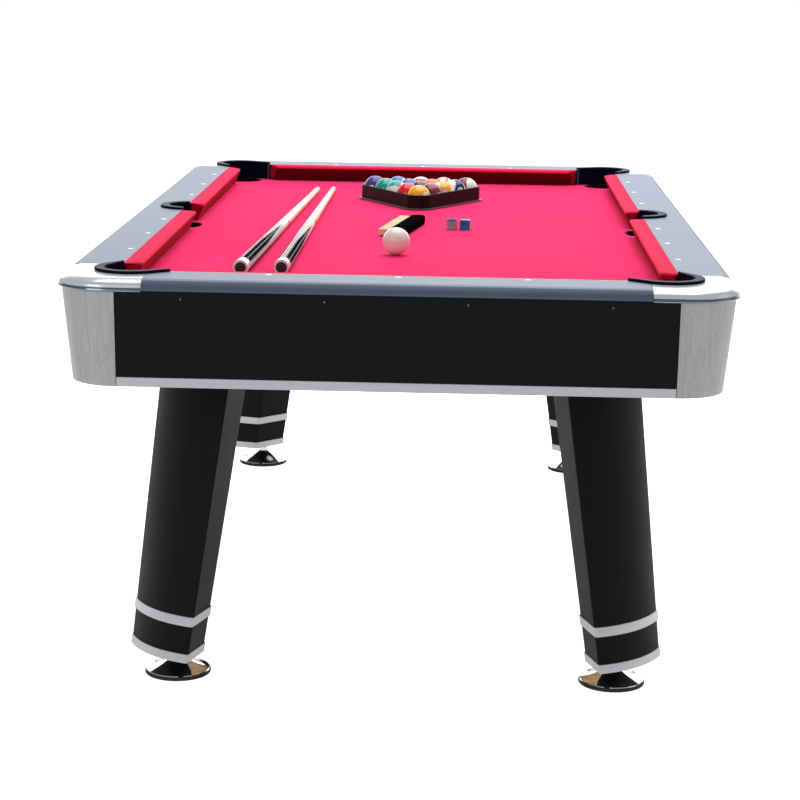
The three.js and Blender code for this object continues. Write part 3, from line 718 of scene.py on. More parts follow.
# Painted shade: a near-black copy of the laminate for the rail's lowest faces, under its rolled edge.
RAIL_UNDER_SHADE = Finish("rail_undercut", srgb(12, 14, 26), srgb(22, 25, 40), Effect.HANDLED,
                       settings=(1400.0, 0.5), rough=(0.5, 0.6), relief=0.04, specular=0.2)
# Painted shade: a darker copy of the cushion cloth for the side cushions' faces under the nose and for every facing.
SIDE_NOSE_SHADE_CLOTH = Finish("shaded_side_cloth", srgb(150, 12, 36), srgb(176, 18, 50), Effect.NAP,
                    settings=(1300.0, 1.0), rough=(0.85, 0.95), relief=0.3, specular=0.05)
# Painted shade: a dark chrome for the castings' rolled lip.
LIP_SHADE_CHROME = Finish("rolled_lip", (0.16, 0.18, 0.22), (0.3, 0.32, 0.36), Effect.HANDLED,
                    settings=(260.0, 0.8), rough=(0.08, 0.2), metallic=1.0, relief=0.05)
SCREW_STEEL = Finish("dull_screw", (0.12, 0.12, 0.13), (0.24, 0.24, 0.25), Effect.HANDLED,
                     settings=(900.0, 0.8), rough=(0.4, 0.55), metallic=1.0)
# Painted highlight: pale strips on the end seams stand in for the bright line of light along the rail's inner edge.
SEAM_HIGHLIGHT_STRIP = Finish("pale_seam_strip", srgb(222, 200, 208), srgb(240, 226, 232), Effect.BRUSHED,
                       stretch=(1.0, 0.05, 1.0), rough=(0.3, 0.45))
SIGHT_WHITE = Finish("sight_enamel", srgb(244, 244, 244), srgb(254, 254, 254), Effect.HANDLED, rough=(0.35, 0.45))
# Partly painted reflection: a pale casting finish that is only partly metallic, so its diffuse white stands in for
# the bright reflections of chrome.
CASTING_CHROME_PAINTED_REFLECTION = Finish("polished_casting", (0.66, 0.72, 0.75), (0.73, 0.79, 0.82), Effect.HANDLED,
                settings=(60.0, 0.4), rough=(0.16, 0.24), metallic=0.35, relief=0.02)
FOOT_CHROME = Finish("plated_foot", (0.8, 0.81, 0.83), (0.9, 0.91, 0.92), Effect.HANDLED,
                     settings=(90.0, 0.6), rough=(0.05, 0.14), metallic=1.0, relief=0.03)
STEEL = Finish("plated_thread", (0.55, 0.56, 0.58), (0.7, 0.71, 0.73), Effect.HANDLED,
               settings=(400.0, 0.8), rough=(0.2, 0.34), metallic=1.0)
RUBBER = Finish("black_rubber", srgb(16, 16, 17), srgb(30, 30, 31), Effect.HANDLED, rough=(0.55, 0.75), relief=0.2)
BEAD_PLASTIC = Finish("navy_black_moulding", srgb(12, 14, 32), srgb(21, 24, 45), Effect.HANDLED,
                      settings=(700.0, 0.7), rough=(0.26, 0.34), relief=0.03, specular=0.008)
BLACK_LAMINATE = Finish("black_laminate", srgb(7, 9, 12), srgb(14, 17, 21), Effect.HANDLED,
                        settings=(1100.0, 0.6), rough=(0.42, 0.56), relief=0.12, specular=0.1)
PANEL_SILVER = Finish("brushed_silver", (0.21, 0.213, 0.208), (0.46, 0.462, 0.452), Effect.BRUSHED,
                      stretch=(1.0, 1.0, 0.012), rough=(0.3, 0.48), metallic=0.75, relief=0.08)
TRIM_SILVER = Finish("satin_strip", (0.36, 0.36, 0.375), (0.5, 0.5, 0.515), Effect.BRUSHED,
                     stretch=(0.02, 0.02, 1.0), rough=(0.3, 0.42), metallic=0.7, relief=0.05)
BAND_SILVER = Finish("leg_band", (0.44, 0.44, 0.455), (0.58, 0.58, 0.595), Effect.BRUSHED,
                     stretch=(0.05, 0.05, 1.0), rough=(0.26, 0.38), metallic=0.7, relief=0.05)
BOARD = Finish("raw_board", srgb(150, 116, 78), srgb(184, 150, 108), Effect.GRAIN, settings=(40.0, 0.6),
               stretch=(1.0, 0.25, 1.0), rough=(0.7, 0.85), relief=0.2)
GULLY_PLASTIC = Finish("gully_moulding", srgb(22, 22, 24), srgb(36, 36, 39), Effect.HANDLED, rough=(0.4, 0.6),
                       relief=0.15)
RACK_PLASTIC = Finish("rack_moulding", srgb(17, 12, 14), srgb(28, 20, 23), Effect.HANDLED,
                      settings=(800.0, 0.6), rough=(0.36, 0.48), relief=0.04, specular=0.12)
# Painted highlight: a lighter copy of the rack moulding for the flange, standing in for the light line along its
# edge.
RACK_FLANGE_HIGHLIGHT = Finish("rack_flange_edge", srgb(78, 60, 66), srgb(112, 94, 100), Effect.HANDLED,
                     settings=(800.0, 0.6), rough=(0.3, 0.42), relief=0.04)
CUE_BALL_RESIN = Finish("ivory_resin", srgb(232, 228, 212), srgb(244, 240, 226), Effect.HANDLED,
                        settings=(500.0, 0.2), rough=(0.14, 0.2), coat=0.15, relief=0.01)
MAPLE = Finish("varnished_maple", srgb(232, 214, 182), srgb(242, 228, 200), Effect.GRAIN, settings=(26.0, 0.5),
               stretch=(3.0, 0.08, 3.0), rough=(0.3, 0.4), coat=0.1, relief=0.03)
FERRULE = Finish("ferrule_resin", srgb(236, 232, 222), srgb(248, 246, 238), Effect.HANDLED, rough=(0.2, 0.3),
                 coat=0.3)
LEATHER_TIP = Finish("leather_tip", srgb(52, 74, 104), srgb(84, 108, 138), Effect.HANDLED, rough=(0.8, 0.95),
                     relief=0.4)
JOINT_METAL = Finish("joint_ring", (0.62, 0.62, 0.64), (0.8, 0.8, 0.82), Effect.BRUSHED, rough=(0.15, 0.25),
                     metallic=1.0)
BRISTLE = Finish("cream_bristle", srgb(206, 178, 132), srgb(244, 226, 190), Effect.BRUSHED,
                 stretch=(0.05, 1.0, 1.0), rough=(0.6, 0.8), relief=0.5)
BRUSH_BACK = Finish("brush_moulding", srgb(9, 10, 12), srgb(18, 19, 23), Effect.HANDLED, rough=(0.5, 0.6),
                    specular=0.0)
CHALK_BLUE = Finish("blue_chalk", srgb(36, 92, 160), srgb(72, 134, 196), Effect.HANDLED,
                    settings=(1800.0, 1.0), rough=(0.9, 1.0), relief=0.5)
CHALK_PAPER = Finish("chalk_wrap", srgb(20, 42, 84), srgb(206, 208, 214), Effect.BRUSHED,
                     stretch=(1.0, 1.0, 1.6), rough=(0.5, 0.65), relief=0.1)
DIGIT_BLACK = Finish("digit_ink", srgb(14, 14, 16), srgb(24, 24, 26), Effect.HANDLED, rough=(0.1, 0.2), coat=0.5)


class Paints:
    """Every finish built once, and handed out by its recipe."""

    def __init__(self) -> None:
        """Builds the shared effects."""
        for build in (nap_group, brushed_group, grain_group, handling_group):
            build()
        self.made: dict[str, bpy.types.Material] = {}

    def get(self, finish: Finish) -> bpy.types.Material:
        """The material of a finish, made on first use."""
        if finish.name not in self.made:
            self.made[finish.name] = finish.material()
        return self.made[finish.name]


# ------------------------------------------------------------------ sizes from the frame


def box_mm(node: str) -> tuple[Array, Array]:
    """Lowest and highest corner of a CAD node in millimetres."""
    low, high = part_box(node)
    return np.array(low) / MM, np.array(high) / MM


@dataclass
class TableSizes:
    """Sizes that several sub-assemblies share, in millimetres, read from the frame's boxes."""

    cloth_top: float = 0.0
    rail_top: float = 0.0
    bead_top: float = 0.0
    outer_x: float = 0.0
    outer_y: float = 0.0
    cap_x: float = 0.0
    cap_y: float = 0.0
    nose_x: float = 0.0
    nose_y: float = 0.0
    seam_x: float = 0.0
    seam_y: float = 0.0
    corner_radius: float = 97.0

    def __post_init__(self) -> None:
        """Reads the boxes of the cloth, the castings, the cushions and the liners."""
        cap_low, cap_high = box_mm("corner_cap_rear_right")
        side_low, side_high = box_mm("cushion_rear_right")
        end_low, end_high = box_mm("cushion_rear_end")
        self.cloth_top = box_mm("playing_cloth")[1][2]
        self.bead_top = box_mm("pocket_liner_rear_right")[1][2]
        self.outer_x, self.outer_y, self.rail_top = cap_high
        self.cap_x, self.cap_y = cap_low[:2]
        self.nose_x, self.seam_x = side_low[0], side_high[0]
        self.nose_y, self.seam_y = end_low[1], end_high[1]


# Outer edge of rails and castings in (set-in, drop below the top), from the underside upwards.
RAIL_EDGE = np.array([[4.5, 23.7], [1.6, 22.4], [0.3, 20.0], [0.0, 17.5], [0.6, 14.4], [2.6, 11.0], [6.0, 7.6],
                      [9.6, 4.8], [13.0, 2.7], [16.0, 1.3], [18.8, 0.4], [21.5, 0.0]])
CAP_EDGE = np.array([[5.2, 23.7], [2.4, 23.3], [0.7, 21.9], [0.0, 19.9], [0.7, 17.9], [2.3, 16.9],
                     [2.5, 15.6], [1.6, 14.4], [1.9, 12.2], [3.1, 9.6], [5.6, 6.9], [9.0, 4.6],
                     [13.2, 2.8], [17.8, 1.5], [22.6, 0.5], [27.5, 0.0]])


@dataclass
class PocketShape:
    """Plan of one pocket: a round mouth that runs straight to two tips on the cushion seams."""

    centre: tuple[float, float]
    tips: Array
    reach_axes: Array
    outer: float
    inner: float
    outer_reach: float
    inner_reach: float
    wall: float
    wall_reach: float
    notch: float
    lip_centre: float = 0.0
    lip_radius: float = 0.0

    def path(self, radius: float, reach: float, steps: int = 44) -> Array:
        """U-shaped line: straight from one tip to its tangent point, round the outside, and back.

        The tangent point lies at the tip's bearing from the centre, turned by
        acos(radius / distance).

        Args:
            radius: Radius of the round part.
            reach: Distance of the tips from where the seams cross.
            steps: Chords of the round part.

        Returns:
            Plan points, with five more along each straight.
        """
        centre = np.asarray(self.centre)
        ends = self.tips + self.reach_axes * reach
        away = ends - centre
        spread = np.arccos(np.minimum(1.0, radius / np.linalg.norm(away, axis=1)))
        bearing = np.mod(np.arctan2(away[:, 1], away[:, 0]), TURN)
        body = arc(self.centre, radius, bearing[0] + spread[0] - TURN, bearing[1] - spread[1], steps)
        share = np.linspace(0.0, 1.0, 6)[:, None]
        head = ends[0] + (body[0] - ends[0]) * share
        tail = body[-1] + (ends[1] - body[-1]) * share
        return np.concatenate([head[:-1], body, tail[1:]])

    def hole(self, inset: float, steps: int = 96) -> Array:
        """Drop hole: a circle, its front cut off by a shallow arc at a side pocket."""
        ring = arc(self.centre, self.notch - inset, 0.0, TURN, steps)[:-1]
        if self.lip_radius:
            front = self.lip_centre - np.sqrt((self.lip_radius - inset) ** 2 - ring[:, 1] ** 2)
            ring[:, 0] = np.maximum(ring[:, 0], front)
        return ring

    def mouth(self, clearance: float, low: float, high: float) -> Shell:
        """Body that frees the mouth of rails and castings, open towards the bed."""
        line = self.path(self.wall + clearance, self.wall_reach + 2 * clearance)
        along = line[-1] - line[0]
        inward = np.array([-along[1], along[0]]) / np.linalg.norm(along) * 212.0
        loop = np.concatenate([line, [line[-1] + inward, line[0] + inward]])
        levels = [np.column_stack([loop, np.full(len(loop), z)]) for z in (low, high)]
        return loft(np.stack(levels))


def corner_pocket(size: TableSizes) -> PocketShape:
    """Shape of the rear right corner pocket."""
    tip = np.array([[size.seam_x + 0.8, size.seam_y], [size.seam_x, size.seam_y + 0.8]])
    return PocketShape((size.seam_x - 24.0, size.seam_y - 24.0), tip, np.array([[0.0, -1.0], [-1.0, 0.0]]),
                       67.0, 48.0, 99.0, 88.0, 54.0, 94.0, 55.1)


def side_pocket(size: TableSizes) -> PocketShape:
    """Shape of the right side pocket."""
    tip = np.array([[size.seam_x + 0.8, 0.0], [size.seam_x + 0.8, 0.0]])
    return PocketShape((size.seam_x - 9.0, 0.0), tip, np.array([[0.0, -1.0], [0.0, 1.0]]),
                       67.0, 47.0, 66.6, 48.0, 54.0, 55.0, 51.1, size.seam_x + 65.0, 100.0)


# ------------------------------------------------------------------ pockets


@dataclass
class PocketLiners:
    """Six moulded liners: a rounded bead on the rails, a wall under it, and a throat."""

    size: TableSizes
    paints: Paints
    bead_round: float = 5.0
    wall_thickness: float = 4.0
    throat_low: float = 715.0
    throat_thickness: float = 2.6

    def bead(self, shape: PocketShape) -> Shell:
        """Bead and wall: a section of (depth in from the outer line, height) on nested U lines.

        A section point at depth d lies on the line of radius outer - d, whose tips have moved in
        by the same share of the way to the inner tips.
        """
        top, low = self.size.bead_top, self.size.rail_top + 0.2
        width = shape.outer - shape.inner
        wall_in, wall_out = width + shape.inner - shape.wall + self.wall_thickness, width + shape.inner - shape.wall
        floor = self.size.cloth_top + 0.4
        corners = np.array([[0.0, low], [0.0, top], [width, top], [width, low - 2.0], [wall_in, low - 4.0],
                            [wall_in, floor], [wall_out, floor], [wall_out, low]])
        reach = np.array([1.6, self.bead_round, self.bead_round, 1.6, 1.0, 0.5, 0.5, 0.4])
        section = eased(corners, reach, 6)
        straight = (shape.outer_reach - shape.inner_reach) / width
        lines = [shape.path(shape.outer - d, shape.outer_reach - straight * d) for d, _ in section]
        levels = [np.column_stack([line, np.full(len(line), z)]) for line, (_, z) in zip(lines, section)]
        rings = np.stack(levels, axis=1)
        return loft(self.rounded_tips(rings))

    def rounded_tips(self, rings: Array) -> Array:
        """Rings with their two ends drawn in: four more rings shrunk towards the section's middle."""
        angle = np.linspace(0.35, math.pi / 2 - 0.12, 4)
        ends = []
        for ring, inner in ((rings[0], rings[1]), (rings[-1], rings[-2])):
            middle = ring.mean(axis=0)
            step = (ring - inner).mean(axis=0)
            step = step / np.linalg.norm(step)
            closer = (1 - 0.22 * (1 - np.cos(angle)))[:, None, None]
            onward = (1.8 * np.sin(angle))[:, None, None]
            ends.append(middle + (ring - middle) * closer + step * onward)
        return np.concatenate([ends[0][::-1], rings, ends[1]])

    def throat(self, shape: PocketShape) -> Shell:
        """Tube through the slab: the drop hole's line, inset, on a closed section of wall."""
        top = self.size.cloth_top - 1.6
        outer, inner = 1.2, 1.2 + self.throat_thickness
        section = eased(np.array([[outer, self.throat_low], [outer, top], [inner, top],
                                  [inner, self.throat_low]]), 1.0, 3)
        rings = np.stack([np.column_stack([shape.hole(d), np.full(96, z)]) for d, z in section], axis=1)
        return ring_body(rings)

    def build(self) -> None:
        """Makes the six liners."""
        finish = [self.paints.get(BEAD_PLASTIC)]
        corner, middle = corner_pocket(self.size), side_pocket(self.size)
        corner_shell = self.bead(corner).joined(self.throat(corner))
        side_shell = self.bead(middle).joined(self.throat(middle))
        for end, side in CORNERS:
            node = f"pocket_liner_{end.label}_{side.label}"
            piece = to_object(corner_shell.mirrored(side.value, end.value), f"liner_{end.label}_{side.label}", finish)
            finished(piece, (node,), sharp=40)
        for side in Side:
            piece = to_object(side_shell.mirrored(side.value, 1), f"liner_side_{side.label}", finish)
            finished(piece, (f"pocket_liner_side_{side.label}",), sharp=40)


# ------------------------------------------------------------------ bed and cushions


@dataclass
class Bed:
    """The stretched cloth over the slab, turned down into the pockets."""

    size: TableSizes
    paints: Paints
    roll: float = 3.0
    tuck: float = 9.0
    thickness: float = 0.7

    def build(self) -> None:
        hem_x, hem_y = box_mm("playing_cloth")[1][:2]
        corner, middle = corner_pocket(self.size), side_pocket(self.size)
        top = self.size.cloth_top
        plan = np.array([[-hem_x, -hem_y], [hem_x, -hem_y], [hem_x, hem_y], [-hem_x, hem_y]])
        levels = [np.column_stack([plan, np.full(4, z)]) for z in (top - self.thickness, top - 0.02)]
        tools = []
        for end, side in CORNERS:
            tools.append(self.rolled_hole(corner).mirrored(side.value, end.value).outward())
        for side in Side:
            tools.append(self.rolled_hole(middle).mirrored(side.value, 1).outward())
        cloth = carved(loft(np.stack(levels)), tools, "bed_cloth", [self.paints.get(CLOTH)])
        finished(cloth, ("playing_cloth",), sharp=60)
        for name, shape, places in (("corner", corner, [(s.value, e.value) for e, s in CORNERS]),
                                    ("side", middle, [(s.value, 1) for s in Side])):
            for k, (sx, sy) in enumerate(places):
                rim = to_object(self.rolled_edge(shape).mirrored(sx, sy), f"cloth_roll_{name}_{k + 1}",
                                [self.paints.get(CLOTH)])
                finished(rim, sharp=60)

    def rolled_hole(self, shape: PocketShape) -> Shell:
        """Body that cuts the cloth back to the top of its rolled edge."""
        ring = shape.hole(0.3 - self.roll)
        return loft(np.stack([np.column_stack([ring, np.full(len(ring), z)]) for z in
                              (self.size.cloth_top - 20.0, self.size.cloth_top + 20.0)]))

    def rolled_edge(self, shape: PocketShape) -> Shell:
        """Cloth that turns over the slab's edge: a quarter round of the roll radius, then straight
        down, closed behind as a thin band."""
        angle = np.linspace(0.0, math.pi / 2, 8)
        top, r = self.size.cloth_top, self.roll
        over = np.stack([-r + r * np.sin(angle), top - 0.02 - r + r * np.cos(angle)], axis=-1)
        down = np.array([[0.0, top - self.tuck], [-self.thickness, top - self.tuck]])
        back = np.stack([-r + (r - self.thickness) * np.sin(angle),
                         top - r + (r - self.thickness) * np.cos(angle)], axis=-1)
        section = np.concatenate([over, down, back[::-1]])
        rings = np.stack([np.column_stack([shape.hole(0.35 + d), np.full(96, z)]) for d, z in section], axis=1)
        return ring_body(rings)


@dataclass
class Cushions:
    """Six rubber cushions under cloth, with a thin strip along each seam: darker cloth under the noses and on the
    facings is painted shade, and the pale strips on the end seams are a painted highlight.
    """

    size: TableSizes
    paints: Paints
    nose_round: float = 3.4
    corner_cut: tuple[float, float] = (92.0, 98.0)
    side_cut: tuple[float, float] = (71.0, 70.0)
    strip_width: float = 2.4

    def section(self) -> Array:
        """Cushion section in (distance from the nose, height): nose, crowned top, seam, underside."""
        top, cloth = self.size.rail_top, self.size.cloth_top
        depth = self.size.seam_x - self.size.nose_x
        share = np.linspace(0.0, 1.0, 7)[1:-1]
        crown = np.column_stack([4.0 + (depth - 4.0) * share,
                                 top - 1.4 + 1.2 * share + 0.5 * np.sin(math.pi * share)])
        corners = np.concatenate([[[0.3, cloth + 34.8], [0.9, cloth + 39.0], [5.2, top - 1.2]], crown,
                                  [[depth - 0.2, top - 0.15], [depth - 0.2, cloth + 0.4], [15.0, cloth + 0.4],
                                   [1.6, cloth + 33.2]]])
        reach = np.full(len(corners), 1.0)
        reach[:3] = self.nose_round
        return eased(corners, reach, 4)

    def bar(self, along_y: bool, start: tuple[float, float], stop: tuple[float, float]) -> Shell:
        """Cushion swept between two slanting facings, each a (nose, seam) pair of positions.

        A point's place along the bar is its end's line at its own distance from the nose, moved in
        by the station's offset, so the facing keeps its slant while its edge is rounded.

        Args:
            along_y: Whether the bar runs along the table.
            start: Where the first facing meets the nose and the seam.
            stop: The same for the last facing.

        Returns:
            The closed cushion: finish 0 above, 1 under an end's nose, 2 under a side's and on facings; 1 and 2 are
                darker cloth as painted shade.
        """
        depth = self.size.seam_x - self.size.nose_x
        section = self.section()
        rings = []
        angle = np.linspace(0.0, math.pi / 2, 5)
        stations = [(0, 4.4 * (1 - math.cos(a)), 4.4 * (1 - math.sin(a))) for a in angle]
        stations += [(1, 4.4 * (1 - math.cos(a)), 4.4 * (1 - math.sin(a))) for a in angle[::-1]]
        for which, off, inset in stations:
            loop = shrunk(section, inset)
            share = loop[:, 0] / depth
            first = start[0] + (start[1] - start[0]) * share + off
            last = stop[0] + (stop[1] - stop[0]) * share - off
            along = first if which == 0 else last
            if along_y:
                rings.append(np.column_stack([self.size.nose_x + loop[:, 0], along, loop[:, 1]]))
            else:
                rings.append(np.column_stack([along, self.size.nose_y + loop[:, 0], loop[:, 1]]))
        shell = loft(np.stack(rings))
        (faces, uv, _), *facings = shell.groups
        height = shell.points[faces][..., 2].mean(axis=1)
        # Painted shade: faces below the nose take a darker copy of the cloth.
        under = height < self.size.cloth_top + 33.0
        body = [(faces[~under], uv[~under], 0), (faces[under], uv[under], 2 if along_y else 1)]
        return Shell(shell.points, body + [(ends, pairs, 2) for ends, pairs, _ in facings])

    def strip(self, along_y: bool, start: float, stop: float) -> Shell:
        """Low round-topped strip over the seam: an eased bar a few tenths proud of the rail.

        Args:
            along_y: Whether it runs along the table.
            start: Where it begins.
            stop: Where it ends.

        Returns:
            The closed strip.
        """
        top, w = self.size.rail_top, self.strip_width
        seam = self.size.seam_x if along_y else self.size.seam_y
        corners = np.array([[seam - 0.5 * w, top - 0.6], [seam - 0.5 * w, top + 0.4], [seam + 0.5 * w, top + 0.4],
                            [seam + 0.5 * w, top - 0.6]])
        loop = eased(corners, 0.4, 3)
        rings = []
        for along, inset in softened(start, stop, 0.3, 2):
            ring = shrunk(loop, inset)
            columns = (ring[:, 0], np.full(len(ring), along), ring[:, 1])
            rings.append(np.column_stack(columns if along_y else (columns[1], columns[0], columns[2])))
        return loft(np.stack(rings))

    def build(self) -> None:
        depth = self.size.seam_x - self.size.nose_x
        nose, seam = self.corner_cut
        side_stop = (self.size.nose_y - nose, self.size.nose_y + depth - seam)
        end_stop = (self.size.nose_x - nose, self.size.nose_x + depth - seam)
        side_shell = self.bar(True, self.side_cut, side_stop)
        end_shell = self.bar(False, (-end_stop[0], -end_stop[1]), end_stop)
        # The second and third finishes are darker cloth copies: painted shade.
        finish = [self.paints.get(look) for look in (CUSHION_CLOTH, END_NOSE_SHADE_CLOTH, SIDE_NOSE_SHADE_CLOTH)]
        # The pale end strips are a painted highlight.
        pale = [self.paints.get(SEAM_HIGHLIGHT_STRIP)]
        side_strip = self.strip(True, self.side_cut[1] - 2.0, side_stop[1] + 2.0)
        end_strip = self.strip(False, -end_stop[1] - 2.0, end_stop[1] + 2.0)
        for end, side in CORNERS:
            label = f"{end.label}_{side.label}"
            piece = to_object(side_shell.mirrored(side.value, end.value), f"cushion_pad_{label}", finish)
            finished(piece, (f"cushion_{label}",), sharp=50)
            strip = to_object(side_strip.mirrored(side.value, end.value), f"seam_strip_{label}", finish[:1])
            finished(strip)
        for end in End:
            piece = to_object(end_shell.mirrored(1, end.value), f"cushion_pad_{end.label}_end", finish)
            finished(piece, (f"cushion_{end.label}_end",), sharp=50)
            finished(to_object(end_strip.mirrored(1, end.value), f"seam_strip_{end.label}_end", pale))


# ------------------------------------------------------------------ rails and castings


@dataclass
class Rails:
    """Four laminate rails with round sights, and the four bright castings between them."""

    size: TableSizes
    paints: Paints
    foot: float = 106.0
    sight_radius: float = 6.0
    sight_inset: float = 18.5
    unit: float = 235.0
    lip: float = 6.6

    def section(self) -> Array:
        """Rail section in (distance from the nose, height)."""
        s = self.size
        out = s.outer_x - s.nose_x
        depth = s.seam_x - s.nose_x + 0.5
        edge = np.column_stack([out - RAIL_EDGE[1:, 0], s.rail_top - RAIL_EDGE[1:, 1]])
        low, under = s.cloth_top + 0.3, s.rail_top - 21.6
        inner = np.array([[depth, low], [self.foot, low], [self.foot, under], [out - 8.0, under],
                          [out - 3.0, under + 0.1]])
        return np.concatenate([inner, edge[1:], [[depth, s.rail_top]]])

    def bar(self, along_y: bool, half: float) -> Shell:
        """Rail blank: the section at both ends of a straight run.

        Args:
            along_y: Whether the rail runs along the table.
            half: Half its length.

        Returns:
            The closed blank: finish 0 on top, 1 on the bevel, 2 under it; 1 is darker laminate as painted shade and 2
                is near-black painted shade.
        """
        section = self.section()
        rings = []
        for along, inset in softened(-half, half, 0.5, 2):
            loop = shrunk(section, inset)
            run = np.full(len(loop), along)
            out = (self.size.nose_x if along_y else self.size.nose_y) + loop[:, 0]
            rings.append(np.column_stack((out, run, loop[:, 1]) if along_y else (run, out, loop[:, 1])))
        # Painted shade: the bevel band takes a darker laminate and the lowest band a near-black one.
        return loft(np.stack(rings)).banded((self.size.rail_top - 3.4, self.size.rail_top - 19.4))

    def cap_outline(self, inset: float) -> Array:
        """Plan of a casting, its outer edge set in: two straights round a quarter circle."""
        s = self.size
        centre = (s.outer_x - s.corner_radius, s.outer_y - s.corner_radius)
        bend = arc(centre, s.corner_radius - inset, 0.0, math.pi / 2, 40)
        first = [[s.seam_x + 0.5, s.cap_y], [s.outer_x - inset, s.cap_y]]
        last = [[s.cap_x, s.outer_y - inset], [s.cap_x, s.seam_y + 0.5], [s.seam_x + 0.5, s.seam_y + 0.5]]
        return np.concatenate([first, bend, last])

    def casting(self) -> Shell:
        """Casting blank: its plan lofted up the edge profile, which ends in a rolled lip below; the lip's faces take
        finish 1, a dark chrome as painted shade.
        """
        rings = [np.column_stack([self.cap_outline(inset), np.full(46, self.size.rail_top - drop)])
                 for inset, drop in CAP_EDGE]
        # Painted shade: the faces of the rolled lip take a dark chrome.
        return loft(np.stack(rings)).banded((self.size.rail_top - 15.2,))

    def sight(self, x: float, y: float) -> Shell:
        """Low enamel disc: a turned profile with a rounded rim, a few hundredths proud."""
        top, r = self.size.rail_top, self.sight_radius
        profile = np.array([[0.0, -0.6], [r, -0.6], [r, 0.05], [r - 0.4, 0.3], [r * 0.6, 0.38], [0.0, 0.42]])
        return turned(profile, 36).moved(np.eye(3), (x, y, top))

    def build(self) -> None:
        """Makes the rails, castings and sights."""
        s = self.size
        corner, middle = corner_pocket(s), side_pocket(s)
        mouth = corner.mouth(0.3, s.cloth_top - 60.0, s.rail_top + 20.0)
        side_mouth = middle.mouth(0.3, s.cloth_top - 60.0, s.rail_top + 20.0)
        # The bevel and underside finishes are painted shade.
        laminate = [self.paints.get(look) for look in (RAIL_LAMINATE, RAIL_BEVEL_SHADE, RAIL_UNDER_SHADE)]
        # The casting finish is partly painted reflection; the lip finish is painted shade.
        chrome = [self.paints.get(look) for look in (CASTING_CHROME_PAINTED_REFLECTION, LIP_SHADE_CHROME)]
        side_bar, end_bar = self.bar(True, s.cap_y - 0.3), self.bar(False, s.cap_x - 0.3)
        for side in Side:
            tools = [mouth.mirrored(side.value, end.value).outward() for end in End]
            tools.append(side_mouth.mirrored(side.value, 1).outward())
            rail = carved(side_bar.mirrored(side.value, 1), tools, f"rail_top_{side.label}", laminate)
            finished(rail, (f"rail_{side.label}",), sharp=25)
        for end in End:
            tools = [mouth.mirrored(side.value, end.value).outward() for side in Side]
            rail = carved(end_bar.mirrored(1, end.value), tools, f"rail_top_{end.label}", laminate)
            finished(rail, (f"rail_{end.label}",), sharp=25)
        hollow = np.stack([np.column_stack([self.cap_outline(self.lip), np.full(46, z)]) for z in
                           (s.rail_top - 33.0, s.rail_top - 21.7)])
        for end, side in CORNERS:
            tools = [shell.mirrored(side.value, end.value).outward() for shell in (loft(hollow), mouth)]
            cap = carved(self.casting().mirrored(side.value, end.value), tools,
                         f"casting_{end.label}_{side.label}", chrome)
            finished(cap, (f"corner_cap_{end.label}_{side.label}",), sharp=38)
        enamel = [self.paints.get(SIGHT_WHITE)]
        for side in Side:
            across = side.value * (s.seam_x + self.sight_inset)
            spots = [self.sight(across, k * self.unit) for k in (-3, -2, -1, 1, 2, 3)]
            finished(to_object(spots[0].joined(*spots[1:]), f"sights_{side.label}", enamel))
        for end in End:
            spots = [self.sight(k * self.unit, end.value * (s.seam_y + 10.5)) for k in (-1, 0, 1)]
            finished(to_object(spots[0].joined(*spots[1:]), f"sights_{end.label}", enamel))


# ------------------------------------------------------------------ cabinet


